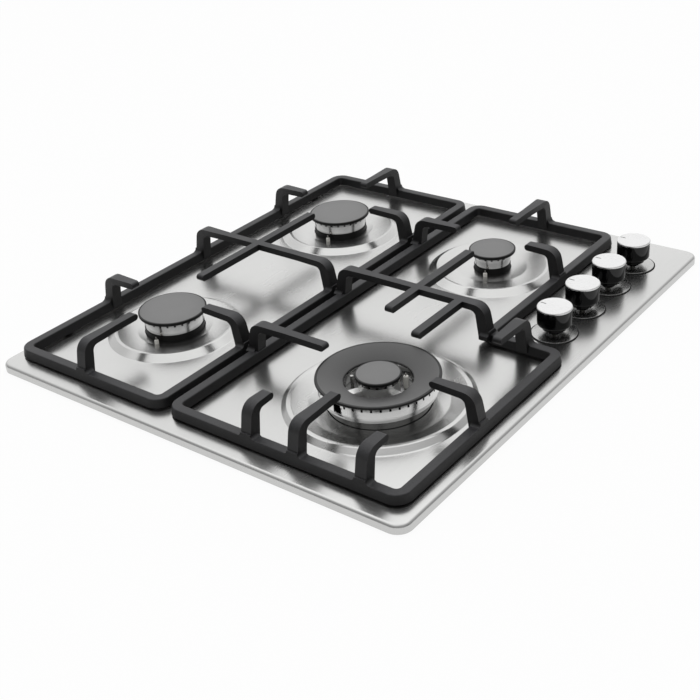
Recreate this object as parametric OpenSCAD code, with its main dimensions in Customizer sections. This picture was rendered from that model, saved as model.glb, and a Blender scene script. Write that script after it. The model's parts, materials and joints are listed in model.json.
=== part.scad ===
// Built-in gas cooktop with four burners, two lift-off cast pan supports and four knobs.
// The origin is under the middle of the cooktop, level with its lowest point.
// +X runs along the knob edge, +Y to the rear edge and +Z up.

/* [Top plate] */
// Width of the top plate, along the knob edge
plate_w = 580; // [575:1:600]
// Depth of the top plate, knob edge to rear edge
plate_d = 510; // [506:1:530]
// Sheet thickness of the top plate
plate_t = 1; // [0.8:0.1:1.4]
// Height of the folded edge
lip_h = 9; // [8:0.5:14]
// Corner radius of the plate in plan
plate_corner_r = 14.5; // [14:0.5:20]
// Radius of the roll along the top edge
plate_roll_r = 3.5; // [2:0.5:5]

/* [Burner box] */
// Lap of the plate over the worktop on each side of the cut-out
worktop_lap = 10; // [10:0.5:12]
// Gap between the box and the cut-out on each side
cutout_gap = 5; // [4:0.5:6]
// Depth of the box under the worktop's surface
box_h = 46; // [44:1:70]
// Sheet thickness of the box
box_t = 0.8; // [0.6:0.1:1.2]
// Corner radius of the box in plan
box_corner_r = 10; // [8:1:16]
// Width of the box's flange
flange_w = 13; // [12:0.5:13.5]
// Thickness of the foam seal, pressed
seal_t = 3.2; // [2.5:0.1:4]
// Width of the foam seal
seal_w = 6; // [5:0.5:6]
// Side of the pocket for the gas inlet
pocket_w = 62; // [56:1:80]
// Height of the pocket for the gas inlet
pocket_h = 16; // [15:0.5:17]

/* [Fixings] */
// Thickness of a worktop clamp
clamp_t = 2; // [1.5:0.1:2.5]
// Width of a worktop clamp
clamp_w = 22; // [18:1:30]
// Worktop thickness that the clamps are set for
worktop_t = 30; // [28:1:32]
// Distance of each clamp from the middle of the box
clamp_y = 150; // [120:1:180]
// Radius of a clamp screw
clamp_screw_r = 2.4; // [2:0.1:2.8]
// Length of a clamp screw under its head
clamp_screw_len = 12; // [9:0.5:14]
// Radius of a box screw
box_screw_r = 1.5; // [1.2:0.1:1.8]
// Radius of a pot screw
pot_screw_r = 1.6; // [1.4:0.1:1.8]

/* [Burner places] */
// Distance of both rear burners and the large burner from the middle line
burner_dx = 143; // [138:1:148]
// Distance of the rear burners behind the middle
rear_burner_y = 145; // [140:1:150]
// Distance of the large burner in front of the middle
wok_front = 125; // [120:1:128]
// Distance of the small burner to the right of the middle
small_x = 144; // [140:1:148]
// Distance of the small burner in front of the middle
small_front = 72; // [68:1:76]

/* [Burners] */
// Radius of the medium burners' caps
semi_cap_r = 36; // [34:0.5:38]
// Radius of the medium burners' heads
semi_head_r = 32; // [30:0.5:33]
// Radius of the medium burners' pots
semi_pot_r = 31.5; // [30:0.5:31.5]
// Radius of the small burner's cap
small_cap_r = 26; // [25:0.5:29]
// Radius of the small burner's head
small_head_r = 21; // [20:0.5:22]
// Radius of the small burner's pot
small_pot_r = 20.5; // [20:0.5:20.5]
// Radius of the large burner's ring cap
wok_cap_r = 59.6; // [59:0.2:61]
// Radius of the large burner's head
wok_head_r = 57.5; // [56:0.5:58]
// Radius of the large burner's pot
wok_pot_r = 50; // [48:0.5:51]
// Radius of the large burner's centre cap
wok_centre_cap_r = 22.2; // [21:0.2:23]
// Height of the pots' rims over the plate
pot_rim_z = 8; // [7:0.5:9]
// Height of the cap tops over the plate
cap_top_z = 25; // [24:0.5:26]
// Height of the large burner's ring cap over the plate
wok_cap_top_z = 28; // [27.5:0.5:28.5]
// Thickness of a cap at its rim
cap_t = 3.5; // [3:0.1:4]
// Ports round a medium head
semi_ports = 26; // [20:1:32]
// Ports round the small head
small_ports = 18; // [14:1:22]
// Ports round the large head
wok_ports = 42; // [36:1:48]

/* [Raised rims in the plate] */
// Outer radius of the rim round a medium or small burner
dome_r = 71.5; // [69:0.5:73]
// Outer radius of the rim round the large burner
wok_dome_r = 93; // [91:0.5:94]
// Height of the rims
dome_h = 5; // [4:0.5:6]
// Depth that the large burner's dish lies under the plate's surface
wok_dish_drop = 1.5; // [1:0.1:2]

/* [Pan supports] */
// Gap from the plate's sides to the pan supports
grate_side_gap = 20.5; // [19:0.5:24]
// Gap from the rear edge to the rear pan support
grate_rear_gap = 8.6; // [8:0.2:14]
// Gap from the knob edge to the front pan support
grate_front_gap = 15; // [14:0.5:20]
// Gap between the two pan supports
grate_split = 9; // [6:0.5:12]
// Place of that gap's middle behind the middle of the plate
grate_split_y = 34.5; // [32:0.5:37]
// Depth that the front pan support is cut back behind the knobs
knob_cutback = 79; // [76:0.5:80]
// Place of the cut-back's side, right of the middle
knob_cutback_x = 5.5; // [4:0.5:7]
// Width of a frame bar at its top
bar_w = 10; // [9:0.5:11]
// Height of a frame bar
bar_h = 9.1; // [8:0.1:10]
// Outer corner radius of the frames
grate_corner_r = 15; // [14:0.5:18]
// Height of the pan plane over the plate
pan_z = 41.5; // [40:0.5:44]
// Height of an arm
arm_h = 7; // [6:0.2:9]
// Width of an arm at its tip
arm_w = 9.2; // [8:0.2:10]
// Width of an arm at its post
post_w = 12; // [11:0.5:13]
// Height of a rubber foot under the frames
foot_h = 1.8; // [1.5:0.1:2.5]
// Radius of a rubber foot
foot_r = 4.6; // [4:0.1:4.8]

/* [Knobs] */
// Place of the first knob, right of the middle
knob_first_x = 48.4; // [46:0.2:50]
// Pitch of the knobs
knob_pitch = 59.3; // [57:0.1:60]
// Distance of the knobs from the knob edge
knob_edge_gap = 51.2; // [48:0.2:53]
// Radius of a knob
knob_r = 17.8; // [16:0.2:19]
// Radius of a knob's neck
knob_neck_r = 12.6; // [11:0.2:14]
// Radius of a knob's bright disc
knob_disc_r = 18; // [16.5:0.1:19]
// Height of a knob's top over the plate
knob_top_z = 31; // [29:0.5:34]
// Thickness of a knob's bright disc
knob_disc_t = 2; // [1.5:0.1:2.5]
// Travel of a knob when it is pushed
knob_push = 4.5; // [3:0.1:4.6]
// Radius of the bezel under a knob
bezel_r = 24.6; // [23:0.1:26]
// Thickness of the bezel
bezel_t = 1.2; // [1:0.1:1.3]
// Radius of a spindle
spindle_r = 3; // [2.8:0.1:3.2]

/* [Gas taps and pipes] */
// Radius of a tap's body
tap_r = 12; // [11:0.5:13]
// Radius of a tap's turning plug
plug_r = 6; // [5.5:0.1:7]
// Radius of the gas rail
rail_r = 8; // [7:0.5:8]
// Radius of a supply tube
tube_r = 4; // [3:0.1:4]
// Wall of the pipes
pipe_wall = 1; // [0.8:0.1:1.2]
// Radius of the inlet's thread
inlet_thread_r = 10.4775; // [8.2:0.0005:10.4775]
// Length of the inlet's thread
inlet_thread_len = 14; // [12:0.5:15]
// Radius of the cord gland's bore
gland_bore_r = 3.5; // [3:0.1:4]

/* [Ignition and flame sensing] */
// Width of the spark module
module_w = 70; // [60:1:76]
// Depth of the spark module
module_d = 45; // [40:1:48]
// Height of the spark module
module_h = 23; // [18:1:24]
// Radius of an electrode's insulator
insulator_r = 2.3; // [2:0.1:2.4]
// Radius of a flame probe
probe_r = 1.6; // [1.4:0.1:1.8]
// Radius of an ignition lead
spark_lead_r = 1.1; // [0.9:0.1:1.2]
// Radius of a probe's lead
probe_lead_r = 0.9; // [0.7:0.1:1]

/* [Hidden] */
$fn = 64;

// Cuts run this far past the faces that they open
over = 1;
// Play of a running fit, of a slip fit and of a loose hole
run_play = 0.05;
slip_play = 0.1;
loose_play = 0.3;
// Points along a quarter of a rounded outline
arc_steps = 5;

// Levels over the lowest point
clamp_head_h = 4;
box_z = clamp_t + clamp_head_h;
seat_z = box_z + box_h;
top_z = seat_z + lip_h;
flange_z = seat_z + seal_t;
box_floor_z = box_z + box_t;
plate_under_z = top_z - plate_t;

// Box and its fixings
box_w = plate_w - 2 * (worktop_lap + cutout_gap);
box_d = plate_d - 2 * (worktop_lap + cutout_gap);
rim_in = 12;
box_screw_line = 3.5;
box_screw_head_r = 3;
box_screw_head_h = 2;
boss_r = 3.4;
box_screw_y = 120;
box_screw_x = 180;
box_screw_at = [
    for (side = [-1, 1]) each [
        for (along = [-1, 0, 1]) [side * (box_w / 2 + box_screw_line), along * box_screw_y]
    ],
    for (side = [-1, 1]) each [
        for (along = [-1, 0, 1]) [along * box_screw_x, side * (box_d / 2 + box_screw_line)]
    ]
];
clamp_inset = 22;
clamp_out = 12;
clamp_head_r = 4.5;
clamp_boss_h = 4;
clamp_at = [
    for (side = [-1, 1]) each [for (along = [-1, 1]) [side * (box_w / 2 - clamp_inset), along * clamp_y]]
];

// Burners in the order rear left, rear right, small, large
REAR_LEFT = 0;
REAR_RIGHT = 1;
SMALL = 2;
WOK = 3;
BURNERS = [REAR_LEFT, REAR_RIGHT, SMALL, WOK];
burner_at = [
    [-burner_dx, rear_burner_y], [burner_dx, rear_burner_y], [small_x, -small_front],
    [-burner_dx, -wok_front]
];
cap_r = [semi_cap_r, semi_cap_r, small_cap_r, wok_cap_r];
head_r = [semi_head_r, semi_head_r, small_head_r, wok_head_r];
pot_r = [semi_pot_r, semi_pot_r, small_pot_r, wok_pot_r];
ports = [semi_ports, semi_ports, small_ports, wok_ports];

// Pots
pot_gap = 0.8;
pot_wall = 2.5;
pot_skirt_z = -4;
pot_floor_z = -42;
cup_r = [20, 20, 13, 20];
cup_bore_r = [12, 12, 10, 12];
cup_bore_z = -26;
chamber_r = 3.2;
chamber_z = -39;
jet_z = -33;
spigot_z = -36;
spigot_r = 6;
spigot_out = 12;
pot_screw_out = 8.5;
pot_screw_len = 8;
pot_screw_head_r = 3.3;
pot_screw_head_h = 2;
pot_screw_angle = 45;
// Directions of the pots' spigots
spigot_dir = [[0, -1], [1, 0], [0, -1], [1, 0]];

// Heads and caps
head_wall = 3.5;
head_floor_t = 2.5;
head_skirt_z = 1.5;
venturi_r = 7;
venturi_wall = 1.5;
venturi_z = -8;
port_w = 1.6;
port_h = 2.2;
head_top_z = cap_top_z - cap_t;
cap_spigot_h = 2;
cap_spigot_w = 2;
cap_edge = 1.2;
// Large head: ring channel, inner head and the arms that join them
ring_in_r = 34;
ring_in_wall = 3;
ring_in_top_z = 19.5;
wok_cap_t = 3;
ring_top_z = wok_cap_top_z - wok_cap_t;
ring_waist_z = 14.5;
ring_foot_in = 2.5;
ring_hole_r = 33;
ring_dip = 5.8;
inner_head_r = 20;
inner_head_top_z = 25.5;
inner_cap_top_z = inner_head_top_z + cap_t;
inner_ports = 16;
bridge_w = 9;
bridge_top_z = 16.5;
bridge_bore_r = 2;
bridge_bore_z = 14.3;
bridge_angles = [15, 150, 260];
notch_angle = 176;
notch_w = 9;

// Rims pressed into the plate
rim_slope = 8.5;
rim_flat = 3;
dish_slope = 10;
dish_z = 2;
wok_rim_slope = 5.5;
wok_rim_flat = 4;
wok_dish_slope = 16;
rim_round = 2.5;
dome_at = [dome_r, dome_r, dome_r, wok_dome_r];

// Electrodes, probes and leads
spark_side_angle = 193.5;
wok_spark_angle = -42;
spark_angle = [spark_side_angle, spark_side_angle, spark_side_angle, wok_spark_angle];
insulator_gap = 5.2;
wok_spark_out = 26;
wok_probe_out = 27;
spark_out = [
    semi_pot_r + insulator_gap, semi_pot_r + insulator_gap, small_pot_r + insulator_gap, wok_spark_out
];
insulator_foot_z = -14;
insulator_top_z = 6.5;
spark_tip_z = 9.5;
wok_insulator_top_z = 18;
wok_spark_tip_z = 22;
collar_r = 3.5;
collar_t = 1.5;
boot_r = 2.2;
boot_foot_z = -22.5;
boot_top_z = -14.5;
spark_tip_r = 0.8;
spark_pin_r = 1;
spark_pin_z = -20;
probe_foot_z = -8;
probe_top_z = 17;
wok_probe_top_z = 21;
probe_nut_r = 3;
knob_y = -plate_d / 2 + knob_edge_gap;
knob_x = [for (i = [0:3]) knob_first_x + i * knob_pitch];
// The taps that feed the burners
tap_of = [1, 3, 2, 0];
semi_probe_angle = 20;
wok_probe_angle = 105;
probe_out = [spark_out[0], spark_out[1], spark_out[2], wok_probe_out];
probe_angle = [
    semi_probe_angle, semi_probe_angle, acos((knob_x[2] - small_x) / spark_out[2]), wok_probe_angle
];
place_step = 0.1;
function on_step(v) = [for (c = v) round(c / place_step) * place_step];
probe_at = [for (i = BURNERS) on_step(probe_out[i] * [cos(probe_angle[i]), sin(probe_angle[i])])];
spark_at = [for (i = BURNERS) on_step(spark_out[i] * [cos(spark_angle[i]), sin(spark_angle[i])])];
lead_bend = 2.5;
probe_lead_z = [11, 12.5, 12.5, 14];
spark_lead_z = 36.5;
spark_lead_turn_y = 100;
module_y = 150;
spark_exit = 8;
wok_probe_lead_x = -112;
wok_probe_lead_z = 41;

// Taps and pipes
gas_way_r = 2.2;
probe_grip = 1.5;
groove_d = 1.4;
groove_w = 3;
groove_end = 2.5;
module_socket = 4;
window_w = 9;
window_h = 10;
window_z = -22;
injector_shank = 4;
injector_hex_r = 5;
injector_h = 6;
injector_bore_r = 1.5;
injector_jet_r = 0.6;
collar_drop = 3;
head_taper = 1;
ring_seat_in = 0.5;
small_tube_turn = 64;
tap_top_z = -12;
tap_foot_z = -40;
plug_top_z = -16.3;
plug_foot_z = -37.5;
spindle_foot_z = -22;
spindle_top_z = 24;
spindle_slot_z = spindle_foot_z - knob_push - over;
spindle_flat = 2.2;
rail_z = -19;
rail_ahead = 22;
rail_start_x = 26;
rail_side_in = 17;
rail_bend_r = 12;
tap_seat_w = 18;
tap_seat_h = 14;
outlet_z = -33;
outlet_r = 6;
outlet_reach = 18;
tube_bend_r = 11;
tube_socket = 8;
tube_turn_y = 20;
inlet_hex_r = 14;
inlet_hex_h = 8.5;
inlet_socket = 5;
inlet_bore_r = 6;
inlet_relief_h = 1;
inlet_relief_r = 9.4;
pocket_inset = 31;
gland_r = 6;
gland_flange_r = 9;
gland_flange_h = 4;
gland_len = 16;
gland_in = [-200, 205];

// Brackets under the pots
bracket_t = 1.5;
bracket_w = 44;
bracket_foot = 12;
bracket_rear = 60;
left_bracket_front = 55;
right_bracket_front = 50;

// Pan supports
bar_draft = 1.5;
bar_round = 1.5;
post_lean = 7;
post_set = 0.8;
back_post_out = 4;
post_foot_z = 3.5;
post_depth = 16.5;
post_foot_depth = 12;
shoulder_r = 13;
elbow_r = 6;
post_flare = 4;
arm_round = 3.4;
taper_len = 50;
rear_arm_shift = 3;
ring_left = 48;
ring_right = 54;
ring_rear = 52;
ring_front = 49.5;
small_ring = 44;
wok_ring = 60.5;
wok_side_rear = 54;
wok_side_front = 73;
short_ring = 90;
cross_ring = 47;
foot_peg_r = 2;
foot_peg_h = 4;
foot_inset = 60;
bar_top_z = foot_h + bar_h;
grate_x = plate_w / 2 - grate_side_gap;
rear_y1 = plate_d / 2 - grate_rear_gap;
rear_y0 = grate_split_y + grate_split / 2;
front_y1 = grate_split_y - grate_split / 2;
front_y0 = -plate_d / 2 + grate_front_gap;
step_y = front_y0 + knob_cutback;
front_arm_x = -1;

// Knob details
knob_wall = 2.2;
knob_hub_r = 6;
mark_in = 1;
knob_body_foot_z = 10.5;
push_clearance = 0.2;
knob_neck_foot_z = bezel_t + knob_push + push_clearance;
knob_round = 2.5;
disc_bevel = 0.7;
mark_w = 1;
mark_len = 6;
mark_depth = 0.3;
bezel_hole_r = 6.5;
bezel_collar_h = 1.5;
plate_knob_hole_r = 8;

// Unit vector
function unit(v) = v / norm(v);

// Points that round the corner b between a and c
function corner(a, b, c, r, n) =
    r <= 0 ? [b] :
    let (
        u = unit(a - b),
        w = unit(c - b),
        half = acos(min(1, max(-1, u * w))) / 2,
        o = b + unit(u + w) * r / sin(half),
        p = b + u * r / tan(half),
        q = b + w * r / tan(half),
        s = atan2(p.y - o.y, p.x - o.x),
        turn = atan2(q.y - o.y, q.x - o.x) - s,
        sweep = turn > 180 ? turn - 360 : turn < -180 ? turn + 360 : turn
    )
    [for (i = [0:n]) o + r * [cos(s + sweep * i / n), sin(s + sweep * i / n)]];

// Closed outline with a radius at each point
function rounded(pts, radii, n = arc_steps) =
    let (m = len(pts))
    [for (i = [0:m - 1]) each corner(pts[(i + m - 1) % m], pts[i], pts[(i + 1) % m], radii[i], n)];

// Open line with a radius at each inner point
function rounded_line(pts, r, n = arc_steps) =
    let (m = len(pts))
    [for (i = [0:m - 1]) each i == 0 || i == m - 1 ? [pts[i]] :
        corner(pts[i - 1], pts[i], pts[i + 1], r, n)];

// Direction that stands square to a run
function up_of(d) = abs(d.z) < 0.5 ? [0, 0, 1] : [1, 0, 0];

// Children in a frame given by its axes and origin
module placed(x, y, z, o) {
    multmatrix([[x.x, y.x, z.x, o.x], [x.y, y.y, z.y, o.y], [x.z, y.z, z.z, o.z], [0, 0, 0, 1]])
        children();
}

// A flat section run from a to b
module straight(a, b) {
    d = unit(b - a);
    u = up_of(d);
    placed(cross(u, d), u, d, a) linear_extrude(norm(b - a)) children();
}

// A flat section turned through a quarter at the corner p
module quarter(p, d1, d2, r) {
    back = cross(d1, d2).z < -0.5;
    e1 = back ? -d2 : d1;
    e2 = back ? -d1 : d2;
    placed(-e2, e1, cross(e1, e2), p - d1 * r + d2 * r)
        rotate_extrude(angle = 90) translate([r, 0]) children();
}

// A section run along square corners, open at both ends
module run(pts, r) {
    n = len(pts) - 1;
    for (i = [0:n - 1]) {
        d = unit(pts[i + 1] - pts[i]);
        straight(pts[i] + (i == 0 ? 0 : r) * d, pts[i + 1] - (i == n - 1 ? 0 : r) * d) children();
    }
    if (n > 1)
        for (i = [1:n - 1])
            quarter(pts[i], unit(pts[i] - pts[i - 1]), unit(pts[i + 1] - pts[i]), r) children();
}

// A section run round a closed loop of square corners
module loop(pts, r) {
    n = len(pts);
    for (i = [0:n - 1]) {
        a = pts[i];
        b = pts[(i + 1) % n];
        c = pts[(i + 2) % n];
        straight(a + r * unit(b - a), b - r * unit(b - a)) children();
        quarter(b, unit(b - a), unit(c - b), r) children();
    }
}

// Slab with rounded corners in plan
module slab(w, d, h, r) {
    linear_extrude(h) {
        square([w - 2 * r, d], center = true);
        square([w, d - 2 * r], center = true);
        for (x = [-1, 1], y = [-1, 1])
            translate([x * (w / 2 - r), y * (d / 2 - r)]) circle(r);
    }
}

// Section run round a rounded rectangle, drawn with its outer face at x = r
module rim(w, d, r) {
    for (k = [0:3]) {
        reach = (k % 2 == 0 ? w : d) / 2 - r;
        side = (k % 2 == 0 ? d : w) - 2 * r;
        rotate([0, 0, 90 * k]) {
            translate([reach, side / 2, 0]) rotate([90, 0, 0]) linear_extrude(side) children();
            translate([reach, side / 2, 0]) rotate_extrude(angle = 90) children();
        }
    }
}

module at_burner(i) {
    translate([burner_at[i].x, burner_at[i].y, top_z]) children();
}

module at_knob(i) {
    translate([knob_x[i], knob_y, top_z]) children();
}

// Top plate: stainless sheet with a folded edge, an opening for each pressed well and bosses
module plate_edge() {
    o = [plate_corner_r - plate_roll_r, -plate_roll_r];
    steps = 2 * arc_steps;
    polygon([
        [plate_corner_r, -lip_h],
        for (i = [0:steps]) o + plate_roll_r * [cos(90 * i / steps), sin(90 * i / steps)],
        [plate_corner_r - rim_in, 0],
        [plate_corner_r - rim_in, -plate_t],
        for (i = [steps:-1:0]) o + (plate_roll_r - plate_t) * [cos(90 * i / steps), sin(90 * i / steps)],
        [plate_corner_r - plate_t, -lip_h]
    ]);
}

module pressed_rim(i) {
    large = i == WOK;
    r = dome_at[i];
    top = r - (large ? wok_rim_slope : rim_slope);
    inner = top - (large ? wok_rim_flat : rim_flat);
    low = inner - (large ? wok_dish_slope : dish_slope);
    floor_z = large ? -wok_dish_drop : dish_z;
    line = rounded_line([
        [r + rim_round, 0], [r, 0], [top, dome_h], [inner, dome_h],
        [low, floor_z], [pot_r[i] + pot_gap, floor_z]
    ], rim_round / 2);
    last = len(line) - 1;
    rotate_extrude($fn = 96)
        polygon([each line, for (k = [last:-1:0]) line[k] - [0, plate_t]]);
}

module top_plate() {
    color("#d2d2d0")
        difference() {
            union() {
                translate([0, 0, top_z]) rim(plate_w, plate_d, plate_corner_r) plate_edge();
                difference() {
                    translate([0, 0, plate_under_z])
                        slab(plate_w - 2 * rim_in + 2 * over, plate_d - 2 * rim_in + 2 * over, plate_t,
                            plate_corner_r - rim_in + over);
                    for (i = BURNERS)
                        at_burner(i)
                            translate([0, 0, -plate_t - over])
                                cylinder(r = dome_at[i] + rim_round, h = plate_t + 2 * over, $fn = 96);
                }
                for (p = box_screw_at)
                    translate([p.x, p.y, flange_z + box_t])
                        cylinder(r = boss_r, h = plate_under_z - flange_z - box_t + plate_t / 2);
            }
            for (i = [0:3]) at_knob(i) translate([0, 0, -plate_t - over])
                cylinder(r = plate_knob_hole_r, h = plate_t + 2 * over);
            for (p = box_screw_at)
                translate([p.x, p.y, flange_z])
                    cylinder(r = box_screw_r, h = plate_under_z - flange_z - plate_t);
        }
}

// Burner wells: the sheet's pressed raised rims and dishes, each meeting the plate on its outer edge
module burner_wells() {
    color("#d2d2d0")
        for (i = BURNERS) at_burner(i)
            difference() {
                pressed_rim(i);
                if (i != WOK) {
                    translate([spark_at[i].x, spark_at[i].y, pot_skirt_z])
                        cylinder(r = insulator_r + loose_play, h = pot_rim_z - pot_skirt_z);
                    translate([probe_at[i].x, probe_at[i].y, pot_skirt_z])
                        cylinder(r = probe_r + loose_play, h = pot_rim_z - pot_skirt_z);
                }
            }
}

// Foam seal under the box's flange
module perimeter_seal() {
    r = box_corner_r + flange_w;
    color("#222222")
        translate([0, 0, seat_z])
            difference() {
                slab(box_w + 2 * flange_w, box_d + 2 * flange_w, seal_t, r);
                translate([0, 0, -over])
                    slab(box_w + 2 * (flange_w - seal_w), box_d + 2 * (flange_w - seal_w),
                        seal_t + 2 * over, r - seal_w);
            }
}

// Burner box: folded steel tray with a flange, and a pocket at its rear right corner
module pocket(grow) {
    translate([box_w / 2 - pocket_w - grow, box_d / 2 - pocket_w - grow, box_z - over])
        cube([pocket_w + 2 * grow + over, pocket_w + 2 * grow + over, pocket_h + grow + over]);
}

module burner_box() {
    color("#9a9da0")
        difference() {
            union() {
                difference() {
                    translate([0, 0, box_z]) slab(box_w, box_d, flange_z + box_t - box_z, box_corner_r);
                    difference() {
                        translate([0, 0, box_floor_z])
                            slab(box_w - 2 * box_t, box_d - 2 * box_t, flange_z - box_z + over,
                                box_corner_r - box_t);
                        pocket(box_t);
                    }
                    pocket(0);
                }
                for (p = clamp_at)
                    translate([p.x, p.y, box_z]) cylinder(r = clamp_head_r, h = clamp_boss_h);
                translate([0, 0, flange_z])
                    difference() {
                        slab(box_w + 2 * flange_w, box_d + 2 * flange_w, box_t, box_corner_r + flange_w);
                        translate([0, 0, -over])
                            slab(box_w - box_t, box_d - box_t, box_t + 2 * over, box_corner_r - box_t / 2);
                    }
            }
            for (p = box_screw_at)
                translate([p.x, p.y, flange_z - over])
                    cylinder(r = box_screw_r + loose_play, h = box_t + 2 * over);
            for (p = clamp_at)
                translate([p.x, p.y, box_z - over])
                    cylinder(r = clamp_screw_r, h = clamp_boss_h + 2 * over);
            translate([inlet_at.x, inlet_at.y, box_z + pocket_h - over])
                cylinder(r = inlet_thread_r + loose_play, h = box_t + 2 * over);
            translate([gland_in.x, gland_in.y, box_z - over])
                cylinder(r = gland_r + slip_play, h = box_t + 2 * over);
        }
}

module pan_screw(r, head_r, head_h, length) {
    translate([0, 0, -head_h]) cylinder(r = head_r, h = head_h);
    translate([0, 0, -head_h / 2]) cylinder(r = r, h = length + head_h / 2);
}

module box_screws() {
    color("#b8b8b8")
        for (p = box_screw_at)
            translate([p.x, p.y, flange_z])
                pan_screw(box_screw_r - run_play, box_screw_head_r, box_screw_head_h,
                    plate_under_z - flange_z - 2 * plate_t);
}

// Worktop clamps: strips under the box whose tips turn up against the worktop
module worktop_clamps() {
    tip_z = seat_z - worktop_t;
    color("#a8abad")
        for (p = clamp_at) {
            side = sign(p.x);
            reach = clamp_inset + clamp_out;
            difference() {
                translate([p.x, p.y, box_z - clamp_t])
                    mirror([side < 0 ? 1 : 0, 0, 0])
                        translate([-clamp_w / 2, -clamp_w / 2, 0]) {
                            cube([clamp_w / 2 + reach, clamp_w, clamp_t]);
                            translate([clamp_w / 2 + reach - clamp_t, 0, 0])
                                cube([clamp_t, clamp_w, tip_z - box_z + clamp_t]);
                        }
                translate([p.x, p.y, box_z - clamp_t - over])
                    cylinder(r = clamp_screw_r + loose_play, h = clamp_t + 2 * over);
            }
        }
}

module clamp_screws() {
    color("#b8b8b8")
        for (p = clamp_at)
            translate([p.x, p.y, box_z - clamp_t])
                pan_screw(clamp_screw_r, clamp_head_r, clamp_head_h, clamp_screw_len);
}

// Gas rail and pipes
module pipe_ring(r) {
    difference() {
        circle(r);
        circle(r - pipe_wall);
    }
}

rail_y = knob_y - rail_ahead;
rail_side_x = box_w / 2 - rail_side_in;
inlet_at = [rail_side_x, box_d / 2 - pocket_inset];
inlet_z = box_z + pocket_h + box_t;

module gas_manifold() {
    z = top_z + rail_z;
    color("#c9cbcc")
        difference() {
            union() {
                run([
                    [rail_start_x, rail_y, z], [rail_side_x, rail_y, z],
                    [inlet_at.x, inlet_at.y, z],
                    [inlet_at.x, inlet_at.y, inlet_z + inlet_hex_h - inlet_socket]
                ], rail_bend_r) pipe_ring(rail_r);
                translate([rail_start_x, rail_y, z]) rotate([0, 90, 0]) cylinder(r = rail_r, h = pipe_wall);
            }
            for (i = [0:3])
                translate([knob_x[i], rail_y, z]) rotate([-90, 0, 0])
                    cylinder(r = gas_way_r, h = rail_r + over);
        }
}

module gas_inlet() {
    color("#c7a552")
        translate([inlet_at.x, inlet_at.y, inlet_z])
            difference() {
                union() {
                    cylinder(r = inlet_hex_r, h = inlet_hex_h, $fn = 6);
                    translate([0, 0, -inlet_thread_len - box_t])
                        cylinder(r = inlet_thread_r, h = inlet_thread_len - inlet_relief_h);
                    translate([0, 0, -box_t - inlet_relief_h - over])
                        cylinder(r = inlet_relief_r, h = box_t + inlet_relief_h + 2 * over);
                }
                translate([0, 0, -inlet_thread_len - box_t - over])
                    cylinder(r = inlet_bore_r, h = inlet_thread_len + inlet_hex_h + 2 * over + box_t);
                translate([0, 0, inlet_hex_h - inlet_socket])
                    cylinder(r = rail_r + run_play, h = inlet_socket + over);
            }
}

// Cord gland in the floor of the box; the cord itself isn't part of the model
module cable_gland() {
    color("#1e1e1e")
        translate([gland_in.x, gland_in.y, box_z - gland_flange_h])
            difference() {
                union() {
                    cylinder(r = gland_flange_r, h = gland_flange_h);
                    cylinder(r = gland_r, h = gland_len);
                    translate([0, 0, gland_flange_h + box_t])
                        cylinder(r = gland_flange_r, h = gland_flange_h, $fn = 6);
                }
                translate([0, 0, -over]) cylinder(r = gland_bore_r, h = gland_len + 2 * over);
            }
}

// Spark module with the sockets of its leads
module spark_module() {
    color("#2b2b2d")
        difference() {
            translate([-module_w / 2, module_y - module_d / 2, box_floor_z])
                cube([module_w, module_d, module_h]);
            for (k = [-3:2:3])
                translate([k * spark_exit, burner_at[REAR_LEFT].y + spark_at[REAR_LEFT].y,
                    box_floor_z + module_h - module_socket])
                    cylinder(r = spark_lead_r, h = module_socket + over);
        }
}

// Steel brackets that carry the pots over the box's floor
module bracket(x, y0, y1) {
    strip_z = top_z + pot_floor_z - bracket_t;
    color("#a6a9ac")
        difference() {
            translate([x - bracket_w / 2, 0, 0]) {
                translate([0, y0, strip_z]) cube([bracket_w, y1 - y0, bracket_t]);
                for (side = [0, 1]) {
                    translate([0, side == 0 ? y0 : y1 - bracket_t, box_floor_z])
                        cube([bracket_w, bracket_t, strip_z - box_floor_z + bracket_t]);
                    translate([0, side == 0 ? y0 - bracket_foot : y1 - bracket_t, box_floor_z])
                        cube([bracket_w, bracket_foot + bracket_t, bracket_t]);
                }
            }
            for (i = BURNERS) at_burner(i)
                for (turn = [0, 180]) rotate([0, 0, pot_screw_angle + turn])
                    translate([pot_screw_out, 0, pot_floor_z - bracket_t - over])
                        cylinder(r = pot_screw_r + slip_play, h = bracket_t + 2 * over);
        }
}

module left_burner_bracket() {
    bracket(-burner_dx, -wok_front - left_bracket_front, rear_burner_y + bracket_rear);
}

module right_burner_bracket() {
    bracket(burner_dx, -small_front - right_bracket_front, rear_burner_y + bracket_rear);
}

module pot_screws() {
    color("#b8b8b8")
        for (i = BURNERS) at_burner(i)
            for (turn = [0, 180]) rotate([0, 0, pot_screw_angle + turn])
                translate([pot_screw_out, 0, pot_floor_z - bracket_t])
                    pan_screw(pot_screw_r, pot_screw_head_r, pot_screw_head_h, pot_screw_len);
}

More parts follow.
